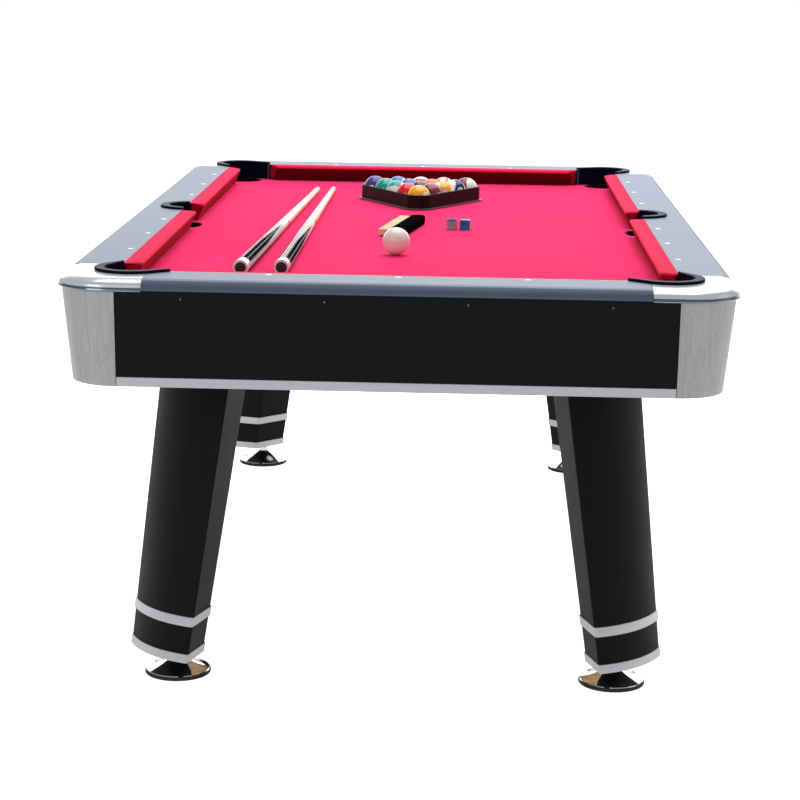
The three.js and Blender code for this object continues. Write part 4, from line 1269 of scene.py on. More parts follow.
@dataclass
class Cabinet:
    """Leaning aprons, silver strips under them, brushed corner panels, and screw heads."""

    size: TableSizes
    paints: Paints
    lean: float = 15.5 / 177.0
    apron_top: float = 781.0
    apron_low: float = 622.3
    low: float = 604.0
    set_in: float = 9.0
    panel_set_in: float = 7.0
    panel_start: float = 504.0
    wall: float = 14.0
    mouth_half: float = 190.0
    mouth: tuple[float, float] = (640.0, 722.0)

    def board(
        self,
        along_y: bool,
        half: float,
        z: tuple[float, float],
        proud: float,
        thickness: float,
        round_by: float,
    ) -> Shell:
        """Leaning board with eased edges: face at outer - (top - z) * lean, set in from the rail.

        Args:
            along_y: Whether the board runs along the table.
            half: Half its length.
            z: Its lowest and highest level.
            proud: How far its face stands out.
            thickness: Its thickness.
            round_by: Radius of its edges.

        Returns:
            The closed board.
        """
        face = (self.size.outer_x if along_y else self.size.outer_y) - self.set_in + proud
        corners = np.array([[face - (self.apron_top - h) * self.lean - t, h] for t, h in
                            ((0.0, z[0]), (0.0, z[1]), (thickness, z[1]), (thickness, z[0]))])
        section = eased(corners, round_by, 3)
        rings = []
        for along, inset in softened(-half, half, round_by, 3):
            loop = shrunk(section, inset * 0.99)
            run = np.full(len(loop), along)
            rings.append(np.column_stack((loop[:, 0], run, loop[:, 1]) if along_y else (run, loop[:, 0], loop[:, 1])))
        return loft(np.stack(rings))

    def panel(self) -> Shell:
        """Corner panel: its plan at each height, an outer quarter round and an inner one."""
        levels = np.concatenate([[self.low, self.low + 0.5, self.low + 1.4],
                                 np.linspace(self.low + 20.0, self.apron_top - 20.0, 6), [self.apron_top - 2.0]])
        insets = np.array([1.2, 0.35] + [0.0] * 8)
        rings = []
        for z, more in zip(levels, insets):
            inward = self.panel_set_in + (self.apron_top - z) * self.lean + more
            fx, fy = self.size.outer_x - inward, self.size.outer_y - inward
            radius = self.size.corner_radius - self.panel_set_in - more
            centre = (fx - radius, fy - radius)
            start_y = self.size.outer_y - self.size.outer_x + self.panel_start
            loop = np.concatenate([
                [[fx - 0.8, start_y], [fx - 0.2, start_y + 0.3], [fx, start_y + 1.0]],
                arc(centre, radius, 0.0, math.pi / 2, 40),
                [[self.panel_start + 1.0, fy], [self.panel_start + 0.3, fy - 0.2], [self.panel_start, fy - 0.8],
                 [self.panel_start, fy - self.wall - 4.0]],
                arc(centre, radius - self.wall, math.pi / 2, 0.0, 20),
                [[fx - self.wall - 4.0, start_y]],
            ])
            rings.append(np.column_stack([loop, np.full(len(loop), z)]))
        return loft(np.stack(rings))

    def screw(self) -> Shell:
        """Round screw head about Z: a low dome over a rim, with a dimpled drive."""
        profile = np.array([[0.0, -0.8], [1.9, -0.8], [1.9, 0.1], [1.6, 0.35], [1.0, 0.55], [0.7, 0.55],
                            [0.4, 0.15], [0.0, 0.1]])
        return turned(profile, 24)

    def screws(self, end: End) -> Shell:
        """Row of screw heads near the upper edge of an end apron, square to its leaning face."""
        z = self.apron_top - 13.0
        face = self.size.outer_y - self.set_in - 13.0 * self.lean
        tilt = math.atan(self.lean)
        normal = np.array([0.0, math.cos(tilt), -math.sin(tilt)])
        basis = np.stack([np.array([1.0, 0.0, 0.0]), np.cross(normal, [1.0, 0.0, 0.0]), normal], axis=1)
        heads = [self.screw().moved(basis, (x, face, z)) for x in (-385.0, -128.0, 128.0, 385.0)]
        return heads[0].joined(*heads[1:]).mirrored(1, end.value)

    def bezel(self) -> Shell:
        """Moulded frame round the return mouth: an eased section carried round a rounded rectangle."""
        low, high = self.mouth
        plan = eased(np.array([[-self.mouth_half, low], [self.mouth_half, low], [self.mouth_half, high],
                               [-self.mouth_half, high]]), 14.0, 10)
        section = eased(np.array([[3.0, -19.0], [3.0, 0.8], [-7.0, 0.8], [-7.0, -0.6], [0.3, -0.6],
                                  [0.3, -19.0]]), 0.5, 2)
        rings = []
        for inset, out in section:
            loop = shrunk(plan, inset)
            face = self.size.outer_y - self.set_in - (self.apron_top - loop[:, 1]) * self.lean
            rings.append(np.column_stack([loop[:, 0], face + out, loop[:, 1]]))
        return ring_body(np.stack(rings, axis=1))

    def build(self) -> None:
        """Makes the cabinet's pieces."""
        black, strip = [self.paints.get(BLACK_LAMINATE)], [self.paints.get(TRIM_SILVER)]
        half_y = box_mm("apron_left")[1][1]
        half_x = box_mm("apron_front")[1][0]
        for side in Side:
            board = self.board(True, half_y, (self.apron_low, self.apron_top), 0.0, 18.0, 0.9)
            finished(to_object(board.mirrored(side.value, 1), f"side_apron_{side.label}", black),
                     (f"apron_{side.label}",))
            trim = self.board(True, half_y, (self.low, self.apron_low - 0.3), 1.5, 19.5, 1.2)
            finished(to_object(trim.mirrored(side.value, 1), f"side_strip_{side.label}", strip),
                     (f"trim_strip_{side.label}",))
        low, high = self.mouth
        box = np.array([[-self.mouth_half, low], [self.mouth_half, low], [self.mouth_half, high],
                        [-self.mouth_half, high]])
        opening = loft(np.stack([np.column_stack([box[:, 0], np.full(4, y), box[:, 1]]) for y in
                                 (self.size.outer_y - 60.0, self.size.outer_y + 10.0)]))
        for end in End:
            board = self.board(False, half_x, (self.apron_low, self.apron_top), 0.0, 18.0, 0.9).mirrored(1, end.value)
            name = f"end_apron_{end.label}"
            piece = carved(board, [opening], name, black) if end is End.REAR else to_object(board, name, black)
            finished(piece, (f"apron_{end.label}",))
            trim = self.board(False, half_x, (self.low, self.apron_low - 0.3), 1.5, 19.5, 1.2)
            finished(to_object(trim.mirrored(1, end.value), f"end_strip_{end.label}", strip),
                     (f"trim_strip_{end.label}",))
            finished(to_object(self.screws(end), f"apron_screws_{end.label}", [self.paints.get(SCREW_STEEL)]))
        finished(to_object(self.bezel(), "return_mouth_frame", [self.paints.get(GULLY_PLASTIC)]))
        for end, side in CORNERS:
            panel = to_object(self.panel().mirrored(side.value, end.value), f"panel_{end.label}_{side.label}",
                              [self.paints.get(PANEL_SILVER)])
            finished(panel, (f"corner_panel_{end.label}_{side.label}",), sharp=45)


# ------------------------------------------------------------------ legs and feet


@dataclass
class Legs:
    """Four splayed legs with a curved outer face and two silver bands each."""

    paints: Paints
    low: float = 48.0
    foot: tuple[float, float] = (421.0, 880.0)
    splay: float = 0.13
    growth: float = 0.2
    outer: float = 46.7
    outer_half: float = 87.7
    inner: float = -25.5
    inner_half: float = 48.1
    bulge: float = 20.0
    bands: tuple[tuple[float, float, float], ...] = ((48.0, 65.0, 1.5), (118.0, 136.5, 2.0))
    bore: float = 8.7

    def ring(self, z: float, proud: float, top: float) -> Array:
        """Plan of the leg at a height: a parabola u = outer + bulge * (1 - t^2), straight back.

        The section grows evenly with height and shifts inwards along both axes.
        """
        rise = (z - self.low) / (top - self.low)
        grown, shift = 1 + self.growth * rise, self.splay * (z - self.low)
        t = np.linspace(-1.0, 1.0, 15)
        u = self.outer * grown + proud + self.bulge * grown * (1 - t**2)
        w = t * (self.outer_half * grown + proud)
        back_u, back_w = self.inner * grown - proud, self.inner_half * grown + proud
        corners = np.column_stack([np.append(u, [back_u, back_u]), np.append(w, [back_w, -back_w])])
        reach = np.full(len(corners), 1.5)
        reach[[0, 14]] = 5.0
        reach[15:] = 6.0
        loop = eased(corners, reach, 5)
        x = self.foot[0] - shift + (loop[:, 0] - loop[:, 1]) * math.sqrt(0.5)
        y = self.foot[1] - shift + (loop[:, 0] + loop[:, 1]) * math.sqrt(0.5)
        return np.column_stack([x, y, np.full(len(loop), z)])

    def build(self) -> None:
        """Makes the legs and their bands."""
        top = box_mm("leg_rear_right")[1][2]
        levels = [(self.low + 0.4, -0.8), (self.low + 1.2, 0.0),
                  *[(z, 0.0) for z in np.linspace(66.0, top - 1.0, 12)], (top, -0.8)]
        post = loft(np.stack([self.ring(z, proud, top) for z, proud in levels]))
        drill = turned(np.array([[0.0, 40.0], [self.bore, 40.0], [self.bore, 110.0], [0.0, 110.0]]), 40)
        black, silver = [self.paints.get(BLACK_LAMINATE)], [self.paints.get(BAND_SILVER)]
        for end, side in CORNERS:
            sx, sy = side.value, end.value
            hole = drill.moved(np.eye(3), (sx * self.foot[0], sy * self.foot[1], 0.0))
            label = f"{end.label}_{side.label}"
            leg = carved(post.mirrored(sx, sy), [hole], f"leg_post_{label}", black)
            finished(leg, (f"leg_{label}",))
            for k, (low, high, proud) in enumerate(self.bands):
                heights = [(low, -4.0), (low, proud - 0.7), (low + 0.25, proud - 0.2), (low + 0.7, proud),
                           (high - 0.7, proud),
                           (high - 0.25, proud - 0.2), (high, proud - 0.7), (high, -4.0)]
                body = ring_body(np.stack([self.ring(z, out, top) for z, out in heights]))
                finished(to_object(body.mirrored(sx, sy), f"leg_band_{label}_{k + 1}", silver))


@dataclass
class Feet:
    """Four levelling feet: rubber ring, chrome bell, hexagonal nut and threaded stem."""

    paints: Paints
    foot: tuple[float, float] = (421.0, 880.0)
    stem_radius: float = 7.9
    pitch: float = 2.0
    depth: float = 0.9

    def bell(self) -> Shell:
        """Chrome bell: a turned flare that rises to a neck round the stem."""
        profile = np.array([[0.0, 6.5], [59.0, 6.5], [61.6, 7.0], [62.2, 8.2], [61.0, 9.6], [56.0, 10.6],
                            [50.0, 12.0], [42.0, 14.5], [33.0, 18.4], [25.0, 22.9], [19.0, 26.6], [15.0, 29.4],
                            [13.0, 31.4], [12.0, 32.8], [11.2, 33.0], [8.8, 33.0], [8.8, 20.0], [0.0, 20.0]])
        return turned(profile, 96)

    def ring(self) -> Shell:
        """Rubber ring under the bell, with a grooved tread."""
        profile = np.array([[0.0, 0.8], [40.0, 0.8], [41.0, 0.0], [60.5, 0.0], [62.6, 0.5], [63.7, 1.8],
                            [64.0, 3.4], [63.8, 5.2], [63.0, 6.9], [61.6, 7.6], [59.0, 7.2], [0.0, 6.4]])
        return turned(profile, 96)

    def stem(self) -> Shell:
        """Threaded rod: radius = rod - depth * |2 * frac(z / pitch - angle / turn) - 1|."""
        around, low, high = 20, 20.3, 100.0
        count = int((high - low) / self.pitch * 6)
        angle = np.linspace(0.0, TURN, around, endpoint=False)[None, :]
        z = np.linspace(low + 0.6, high - 0.6, count)[:, None]
        phase = np.mod(z / self.pitch - angle / TURN, 1.0)
        radius = self.stem_radius - self.depth * np.abs(2 * phase - 1)
        flat = np.minimum(radius, self.stem_radius - 0.3)
        rings = np.stack([flat * np.cos(angle), flat * np.sin(angle), np.broadcast_to(z, flat.shape)], axis=-1)
        ends = [np.stack([r * np.cos(angle[0]), r * np.sin(angle[0]), np.full(around, h)], axis=-1)[None] for r, h in
                ((6.4, low), (6.4, high))]
        return loft(np.concatenate([ends[0], rings, ends[1]]))

    def nut(self) -> Shell:
        """Hexagonal nut: radius = flats / cos of the angle from each flat, cut by chamfer cones."""
        angle = np.linspace(0.0, TURN, 72, endpoint=False)
        from_flat = np.mod(angle, TURN / 6) - TURN / 12
        hexagon = 11.0 / np.cos(from_flat)
        levels = ((34.0, 11.2), (34.0, 11.6), (34.9, 12.8), (42.1, 12.8), (43.0, 11.6), (43.0, 11.2))
        rings = [np.stack([np.minimum(hexagon, cap) * np.cos(angle), np.minimum(hexagon, cap) * np.sin(angle),
                           np.full(72, z)], axis=-1)
                 for z, cap in levels]
        hole = [np.stack([8.0 * np.cos(angle), 8.0 * np.sin(angle), np.full(72, z)], axis=-1) for z in (43.0, 34.0)]
        return ring_body(np.stack(rings + hole))

    def build(self) -> None:
        """Makes the four feet; bell and ring ride on the foot, rod and nut on the stem."""
        for end, side in CORNERS:
            label = f"{end.label}_{side.label}"
            shift = (side.value * self.foot[0], end.value * self.foot[1], 0.0)
            parts = (
                (self.bell(), f"foot_bell_{label}", FOOT_CHROME, "chrome_foot", (f"foot_pad_{label}",),
                 f"foot_{label}"),
                (self.ring(), f"foot_ring_{label}", RUBBER, "chrome_foot", (), f"foot_{label}"),
                (self.stem(), f"stem_rod_{label}", STEEL, "steel_stem", (f"foot_stem_{label}",), f"stem_{label}"),
                (self.nut(), f"stem_nut_{label}", FOOT_CHROME, "steel_stem", (), f"stem_{label}"),
            )
            for shell, name, finish, slot, stood_for, body in parts:
                piece = to_object(shell.moved(np.eye(3), shift), name, [self.paints.get(finish)])
                finished(piece, stood_for, body)


# ------------------------------------------------------------------ rack and balls


BALL_RADIUS = 28.575


@dataclass
class Rack:
    """Triangular rack with a foot flange and rounded edges."""

    paints: Paints
    wall: float = 5.0
    flange: float = 11.0
    flange_height: float = 4.0
    clearance: float = 0.7

    def build(self) -> None:
        """Carries the wall and flange section round the triangle of the corner balls' centres."""
        low, high = box_mm("ball_rack")
        reach = BALL_RADIUS + self.clearance
        grow = reach + self.flange
        apex, back = low[1] + grow, high[1] - grow
        middle, half = 0.5 * (low[0] + high[0]), 0.5 * (high[0] - low[0]) - grow
        centres = np.array([[middle, apex], [middle + half, back], [middle - half, back]])
        first = (4 * np.arange(3) - 5) * math.pi / 6
        angle = first[:, None] + np.linspace(0.0, TURN / 3, 25)[None, :]
        out = np.stack([np.cos(angle), np.sin(angle)], axis=-1).reshape(-1, 2)
        path = np.repeat(centres, 25, axis=0)
        z, wall, top = low[2], reach + self.wall, high[2]
        corners = np.array([[reach, z], [reach + self.flange, z], [reach + self.flange, z + self.flange_height],
                            [reach + self.flange - 2.4, z + self.flange_height], [reach + self.flange - 2.8, z + 2.6],
                            [wall, z + 2.6], [wall, top], [reach, top]])
        section = eased(corners, np.array([0.5, 0.8, 0.8, 0.4, 0.5, 1.6, 1.4, 1.4]), 4)
        rings = np.concatenate([path[:, None, :] + out[:, None, :] * section[None, :, :1],
                                np.broadcast_to(section[None, :, 1:], (75, len(section), 1))], axis=-1)
        # The flange takes a lighter copy of the moulding: a painted highlight.
        looks = [self.paints.get(look) for look in (RACK_PLASTIC, RACK_FLANGE_HIGHLIGHT)]
        frame = to_object(ring_body(rings).banded((z + self.flange_height + 0.6,)), "rack_frame", looks)
        finished(frame, ("ball_rack",), "rack")


class BallKind(Enum):
    """Whether a ball is coloured all over, or white with a coloured stripe."""

    SOLID = "solid"
    STRIPE = "stripe"


@dataclass(frozen=True)
class BallLook:
    """One numbered ball: its number, colour, kind, and how it lies (turn, tilt, roll in degrees)."""

    number: int
    colour: tuple[float, float, float]
    kind: BallKind
    lie: tuple[float, float, float]


YELLOW, BLUE, RED = srgb(240, 176, 30), srgb(66, 106, 190), srgb(222, 30, 38)
PURPLE, ORANGE, GREEN = srgb(74, 58, 140), srgb(246, 128, 84), srgb(26, 162, 142)
MAROON, NAVY, SLATE = srgb(128, 44, 66), srgb(40, 44, 104), srgb(52, 64, 90)
# Rows from the apex backwards, each from left to right.
RACKED: tuple[tuple[BallLook, ...], ...] = (
    (BallLook(1, YELLOW, BallKind.SOLID, (-48, 14, 10)),),
    (BallLook(3, RED, BallKind.SOLID, (150, 10, 0)), BallLook(7, MAROON, BallKind.SOLID, (-40, 0, 0))),
    (BallLook(14, GREEN, BallKind.STRIPE, (-37, 40, 120)), BallLook(8, SLATE, BallKind.SOLID, (80, 30, 0)),
     BallLook(9, YELLOW, BallKind.STRIPE, (-80, 5, 78))),
    (BallLook(6, GREEN, BallKind.SOLID, (100, 10, 0)), BallLook(2, BLUE, BallKind.SOLID, (60, 20, 0)),
     BallLook(5, ORANGE, BallKind.SOLID, (140, 0, 0)), BallLook(12, NAVY, BallKind.STRIPE, (-58, 8, 70))),
    (BallLook(4, PURPLE, BallKind.SOLID, (70, 0, 0)), BallLook(10, BLUE, BallKind.STRIPE, (-37, 40, 110)),
     BallLook(11, RED, BallKind.STRIPE, (-110, 30, 12)), BallLook(13, ORANGE, BallKind.STRIPE, (-100, 60, 100)),
     BallLook(15, MAROON, BallKind.STRIPE, (-115, 5, -75))),
)


@dataclass
class Balls:
    """Fifteen racked numbered balls and the cue ball."""

    paints: Paints
    disc_radius: float = 8.4
    stripe_half: float = 14.0
    rest: float = 0.0

    def sphere(self, segments: int = 56) -> Shell:
        """Ball about the origin: a turned half circle with its axis along Z."""
        angle = np.linspace(-math.pi / 2, math.pi / 2, segments // 2 + 1)
        profile = np.column_stack([BALL_RADIUS * np.cos(angle), BALL_RADIUS * np.sin(angle)])
        profile[[0, -1], 0] = 0.0
        return turned(profile, segments)

    def paint(self, look: BallLook) -> bpy.types.Material:
        """Ball material: its own attribute gives the unturned place, from which the number discs
        (angle from X below disc / radius) and the stripe (|z| below the stripe's half) are cut."""
        key = f"ball_{look.kind.value}_{look.number}"
        shade = np.array(look.colour)
        finish = Finish(key, tuple(shade * 0.92), tuple(np.minimum(shade * 1.05, 1.0)), Effect.HANDLED,
                        settings=(500.0, 0.2), rough=(0.14, 0.22), coat=0.2, relief=0.01, specular=0.35)
        made, g, shader, _ = finish.graph()
        body = shader.inputs["Base Color"].links[0].from_socket
        place = g.node("ShaderNodeAttribute", attribute_name="unturned")
        x, _, z = g.split(place.outputs["Vector"])
        edge = math.sqrt(BALL_RADIUS**2 - self.disc_radius**2)
        disc = g.ramp(g.math("ABSOLUTE", x), edge - 0.12, edge + 0.12)
        ivory = (*srgb(240, 236, 222), 1.0)
        if look.kind is BallKind.STRIPE:
            band = g.ramp(g.math("ABSOLUTE", z), self.stripe_half - 0.15, self.stripe_half + 0.15)
            body = g.mix(band, body, ivory)
        g.link(g.mix(disc, body, ivory), shader.inputs["Base Color"])
        return made

    def digits(self, number: int) -> Shell | None:
        """Both number plates: flat text made a mesh, laid on the ball so that a point (a, b) of it
        goes to the ball's radius along (sqrt(R^2 - a^2 - b^2), a, b), with its outer face proud."""
        curve = bpy.data.curves.new("digits", "FONT")
        curve.body, curve.size, curve.align_x, curve.align_y = str(number), 10.5, "CENTER", "CENTER"
        curve.extrude, curve.resolution_u = 0.12, 3
        letter = bpy.data.objects.new("digits", curve)
        bpy.context.scene.collection.objects.link(letter)
        bpy.context.view_layer.update()
        mesh = bpy.data.meshes.new_from_object(letter.evaluated_get(bpy.context.evaluated_depsgraph_get()))
        points = np.zeros(len(mesh.vertices) * 3)
        mesh.vertices.foreach_get("co", points)
        points = points.reshape(-1, 3)
        mesh.calc_loop_triangles()
        faces = np.zeros(len(mesh.loop_triangles) * 3, np.int32)
        mesh.loop_triangles.foreach_get("vertices", faces)
        bpy.data.objects.remove(letter)
        bpy.data.curves.remove(curve)
        a, b = points[:, 0] * (0.78 if number > 9 else 1.0), points[:, 1]
        along = np.stack([np.sqrt(np.maximum(BALL_RADIUS**2 - a**2 - b**2, 1.0)), a, b], axis=-1) / BALL_RADIUS
        laid = along * (BALL_RADIUS - 0.04 + points[:, 2:3])
        corners = faces.reshape(-1, 3)
        plate = Shell(laid, [(corners, laid[corners][..., 1:], 1)]).outward()
        half_turn = np.diag([-1.0, -1.0, 1.0])
        return plate.joined(plate.moved(half_turn))

    def ball(self, look: BallLook, centre: Array, name: str) -> bpy.types.Object:
        """One numbered ball, turned as it lies, with its unturned place kept as an attribute.

        Args:
            look: Number, colour, kind and lie.
            centre: Where it rests.
            name: Name of the piece.

        Returns:
            The piece.
        """
        turn, tilt, roll = (math.radians(v) for v in look.lie)
        spin = np.array([[math.cos(turn), -math.sin(turn), 0], [math.sin(turn), math.cos(turn), 0], [0, 0, 1]])
        lean = np.array([[math.cos(tilt), 0, -math.sin(tilt)], [0, 1, 0], [math.sin(tilt), 0, math.cos(tilt)]])
        over = np.array([[1, 0, 0], [0, math.cos(roll), -math.sin(roll)], [0, math.sin(roll), math.cos(roll)]])
        shell = self.sphere().joined(self.digits(look.number))
        piece = to_object(shell.moved(spin @ lean @ over, centre), name,
                          [self.paint(look), self.paints.get(DIGIT_BLACK)])
        place = piece.data.attributes.new("unturned", "FLOAT_VECTOR", "POINT")
        place.data.foreach_set("vector", shell.points.astype(np.float32).ravel())
        return piece

    def build(self) -> None:
        """Racks the fifteen balls, and lays the cue ball."""
        low, high = box_mm("racked_balls")
        apex = low[1] + BALL_RADIUS + 0.35
        middle = 0.5 * (low[0] + high[0])
        height = 0.5 * (low[2] + high[2])
        for row, looks in enumerate(RACKED):
            for i, look in enumerate(looks):
                centre = np.array([middle + (2 * i - row) * BALL_RADIUS,
                                   apex + row * BALL_RADIUS * math.sqrt(3), height])
                piece = self.ball(look, centre, f"ball_{look.number}")
                stood_for = ("racked_balls",) if row == 0 else ()
                finished(piece, stood_for, "balls", sharp=50)
        low, high = box_mm("cue_ball")
        shell = self.sphere(72).moved(np.eye(3), 0.5 * (low + high))
        finished(to_object(shell, "cue_ball_polished", [self.paints.get(CUE_BALL_RESIN)]),
                 ("cue_ball",), "cue_ball")


# ------------------------------------------------------------------ cues


@dataclass
class Cues:
    """Two two-piece cues: bumper, collar, inlaid butt, joint, maple shaft, ferrule and tip."""

    paints: Paints
    length: float = 1470.0
    butt: float = 15.0
    tip: float = 6.5
    joint: float = 735.0
    lay: tuple[tuple[str, float, float, float, float], ...] = (
        ("cue_left", -313.0, -760.0, -265.0, 62.0),
        ("cue_right", -235.0, -745.0, -225.0, 84.0),
    )

    def radius(self, along: Array | float) -> Array:
        """Even taper from butt to tip."""
        return self.butt + (self.tip - self.butt) * np.asarray(along) / self.length

    def part(self, start: float, stop: float, ease: float, less: float = 0.0, finish: int = 0) -> Shell:
        """A turned length of cue with eased rims: radius(s) - less between two stations.

        Args:
            start: Distance of its first end from the butt.
            stop: Distance of its last end.
            ease: Radius of its rims.
            less: How far its surface is inside the taper.
            finish: Finish number.

        Returns:
            The closed length, its axis along Z.
        """
        s = np.concatenate([[start, start + ease * 0.3, start + ease],
                            np.linspace(start + ease, stop - ease, 10)[1:-1],
                            [stop - ease, stop - ease * 0.3, stop]])
        drop = np.concatenate([[ease, ease * 0.3, 0.0], np.zeros(8), [0.0, ease * 0.3, ease]])
        profile = np.column_stack([self.radius(s) - less - drop, s])
        return turned(np.concatenate([[[0.0, start]], profile, [[0.0, stop]]]), 48, finish)

    def butt_paint(self) -> bpy.types.Material:
        """Inlaid butt: in the piece's own attribute of (turn share, distance) two black spears taper
        to a point near the joint, each with a line of pale diamonds, on a silver-white ground."""
        finish = Finish("inlaid_butt", srgb(204, 198, 196), srgb(230, 226, 224), Effect.HANDLED,
                        settings=(900.0, 0.3),
                        rough=(0.5, 0.6), relief=0.01, specular=0.0)
        made, g, shader, _ = finish.graph()
        ground = shader.inputs["Base Color"].links[0].from_socket
        place = g.node("ShaderNodeAttribute", attribute_name="round_and_along")
        share, along, _ = g.split(place.outputs["Vector"])
        off = g.math("ABSOLUTE", g.math("SUBTRACT", g.math("FRACT", g.math("MULTIPLY", share, 3.0)), 0.5))
        width = g.ramp(along, 330.0, 640.0, 0.33, 0.0)
        black = g.math("MULTIPLY", g.math("LESS_THAN", off, width), g.math("GREATER_THAN", along, 46.0))
        wave = g.math("ABSOLUTE", g.math("SUBTRACT", g.math("FRACT", g.math("MULTIPLY", along, 1 / 26.0)), 0.5))
        diamond = g.math("LESS_THAN", g.math("ADD", g.math("MULTIPLY", off, 5.5),
                                             g.math("MULTIPLY", wave, 1.6)), 0.52)
        pale = g.math("MULTIPLY", diamond, g.math("MULTIPLY", g.math("GREATER_THAN", width, 0.12), black))
        beside = g.math("ABSOLUTE", g.math("SUBTRACT", off, g.math("MULTIPLY", width, 0.82)))
        line = g.math("MULTIPLY", g.math("LESS_THAN", beside, 0.012), black)
        dark = g.mix(black, ground, (*srgb(18, 18, 22), 1.0))
        lined = g.mix(line, dark, (*srgb(200, 200, 206), 1.0))
        g.link(g.mix(g.math("MULTIPLY", pale, 0.8), lined, (*srgb(178, 180, 188), 1.0)), shader.inputs["Base Color"])
        return made

    def build(self) -> None:
        """Makes both cues as they lie."""
        rest = box_mm("cue_left")[0][2]
        plan = (
            ("bumper", [(0.0, 4.0, 1.0, 4.4)], RUBBER),
            ("collar", [(4.0, 34.0, 1.0, 0.0), (38.0, 42.0, 0.3, 0.0)], FERRULE),
            ("ring", [(34.0, 38.0, 0.2, 0.1), (self.joint - 10.0, self.joint - 4.0, 0.2, -0.1),
                      (self.joint + 4.0, self.joint + 10.0, 0.2, -0.1)], JOINT_METAL),
            ("butt", [(42.0, 640.0, 0.2, 0.05)], None),
            ("forearm", [(640.0, self.joint - 10.0, 0.2, 0.05)], MAPLE),
            ("joint", [(self.joint - 4.0, self.joint + 4.0, 0.2, 0.2)], RUBBER),
            ("shaft", [(self.joint + 10.0, self.length - 30.0, 0.2, 0.05)], MAPLE),
            ("ferrule", [(self.length - 30.0, self.length - 8.0, 0.2, 0.0)], FERRULE),
            ("tip", [(self.length - 8.0, self.length, 2.2, 0.1)], LEATHER_TIP),
        )
        butt_paint = self.butt_paint()
        for node, x, y, tip_x, spin in self.lay:
            side, drop = tip_x - x, self.tip - self.butt
            run = math.sqrt(self.length**2 - side**2 - drop**2)
            axis = np.array([side, run, drop]) / self.length
            across = np.cross(axis, [0.0, 0.0, 1.0])
            across /= np.linalg.norm(across)
            basis = np.stack([across, np.cross(axis, across), axis], axis=1)
            a = math.radians(spin)
            twist = np.array([[math.cos(a), -math.sin(a), 0], [math.sin(a), math.cos(a), 0], [0, 0, 1]])
            start = np.array([x, y, rest + self.butt + 0.1])
            for k, (name, spans, finish) in enumerate(plan):
                parts = [self.part(*span) for span in spans]
                shell = parts[0].joined(*parts[1:])
                paint = butt_paint if finish is None else self.paints.get(finish)
                piece = to_object(shell.moved(basis @ twist, start), f"{node}_{name}", [paint])
                if finish is None:
                    share = np.arctan2(shell.points[:, 1], shell.points[:, 0]) / TURN + 0.5
                    own = np.column_stack([share, shell.points[:, 2], np.zeros(len(share))])
                    at = piece.data.attributes.new("round_and_along", "FLOAT_VECTOR", "POINT")
                    at.data.foreach_set("vector", own.astype(np.float32).ravel())
                finished(piece, (node,) if k == 0 else (), node)


# ------------------------------------------------------------------ brush and chalk


@dataclass
class Brush:
    """Bristle brush on its side: a moulded back with rounded edges and rows of cream tufts."""

    paints: Paints
    centre: tuple[float, float] = (-27.0, -25.0)
    turn: float = -0.163
    length: float = 270.0
    back: float = 34.0
    bristle: float = 26.0
    thick: float = 20.0
    rows: int = 4
    columns: int = 44

    def back_shell(self) -> Shell:
        """Back: a long round-ended plan, lofted with eased upper and lower edges."""
        r, half = self.back / 2, self.length / 2
        plan = np.concatenate([arc((r, half - r), r, 0.0, math.pi, 24), arc((r, r - half), r, math.pi, TURN, 24)])
        angle = np.linspace(0.0, math.pi / 2, 6)
        inset, z = 4.5 * (1 - np.sin(angle)), 4.5 * (1 - np.cos(angle))
        levels = list(zip(z, inset)) + list(zip(self.thick - z[::-1], inset[::-1]))
        return loft(np.stack([np.column_stack([shrunk(plan, d), np.full(len(plan), h)]) for h, d in levels]))

    def tufts(self) -> Shell:
        """Tufts: eight-sided tapered bundles on a grid, each tip shifted by a fixed random amount."""
        rng = np.random.default_rng(7)
        rows, columns = np.meshgrid(np.arange(self.rows), np.arange(self.columns), indexing="ij")
        y = (columns.ravel() / (self.columns - 1) - 0.5) * (self.length - 27.0)
        z = 3.6 + (rows.ravel() + 0.5) / self.rows * (self.thick - 7.2)
        count, angle = len(y), np.linspace(0.0, TURN, 8, endpoint=False)
        reach = self.bristle - 0.3 - rng.uniform(0.0, 1.6, count)
        shells = []
        for share, radius in ((0.0, 1.7), (0.5, 2.3), (0.97, 2.85), (1.0, 2.3)):
            lift = (rng.uniform(-0.3, 0.3, (2, count)) * share)[:, :, None]
            ring_y = np.clip(y[:, None] + lift[0] + radius * 1.05 * np.cos(angle), -self.length / 2 + 10,
                             self.length / 2 - 10)
            ring_z = np.clip(z[:, None] + lift[1] + radius * np.sin(angle), 1.0, self.thick - 2.0)
            shells.append(np.stack([np.broadcast_to((6.0 - (6.0 + reach) * share)[:, None], ring_y.shape),
                                    ring_y, ring_z], axis=-1))
        rings = np.stack(shells, axis=1)
        bundle = [loft(ring) for ring in rings]
        return bundle[0].joined(*bundle[1:])

    def build(self) -> None:
        """Makes the back and the tufts as they lie."""
        rest = box_mm("table_brush")[0][2]
        c, s = math.cos(self.turn), math.sin(self.turn)
        spin, shift = np.array([[c, -s, 0], [s, c, 0], [0, 0, 1]]), (*self.centre, rest)
        back = to_object(self.back_shell().moved(spin, shift), "brush_back", [self.paints.get(BRUSH_BACK)])
        finished(back, ("table_brush",), "brush")
        hair = to_object(self.tufts().moved(spin, shift), "brush_tufts", [self.paints.get(BRISTLE)])
        finished(hair, (), "brush")


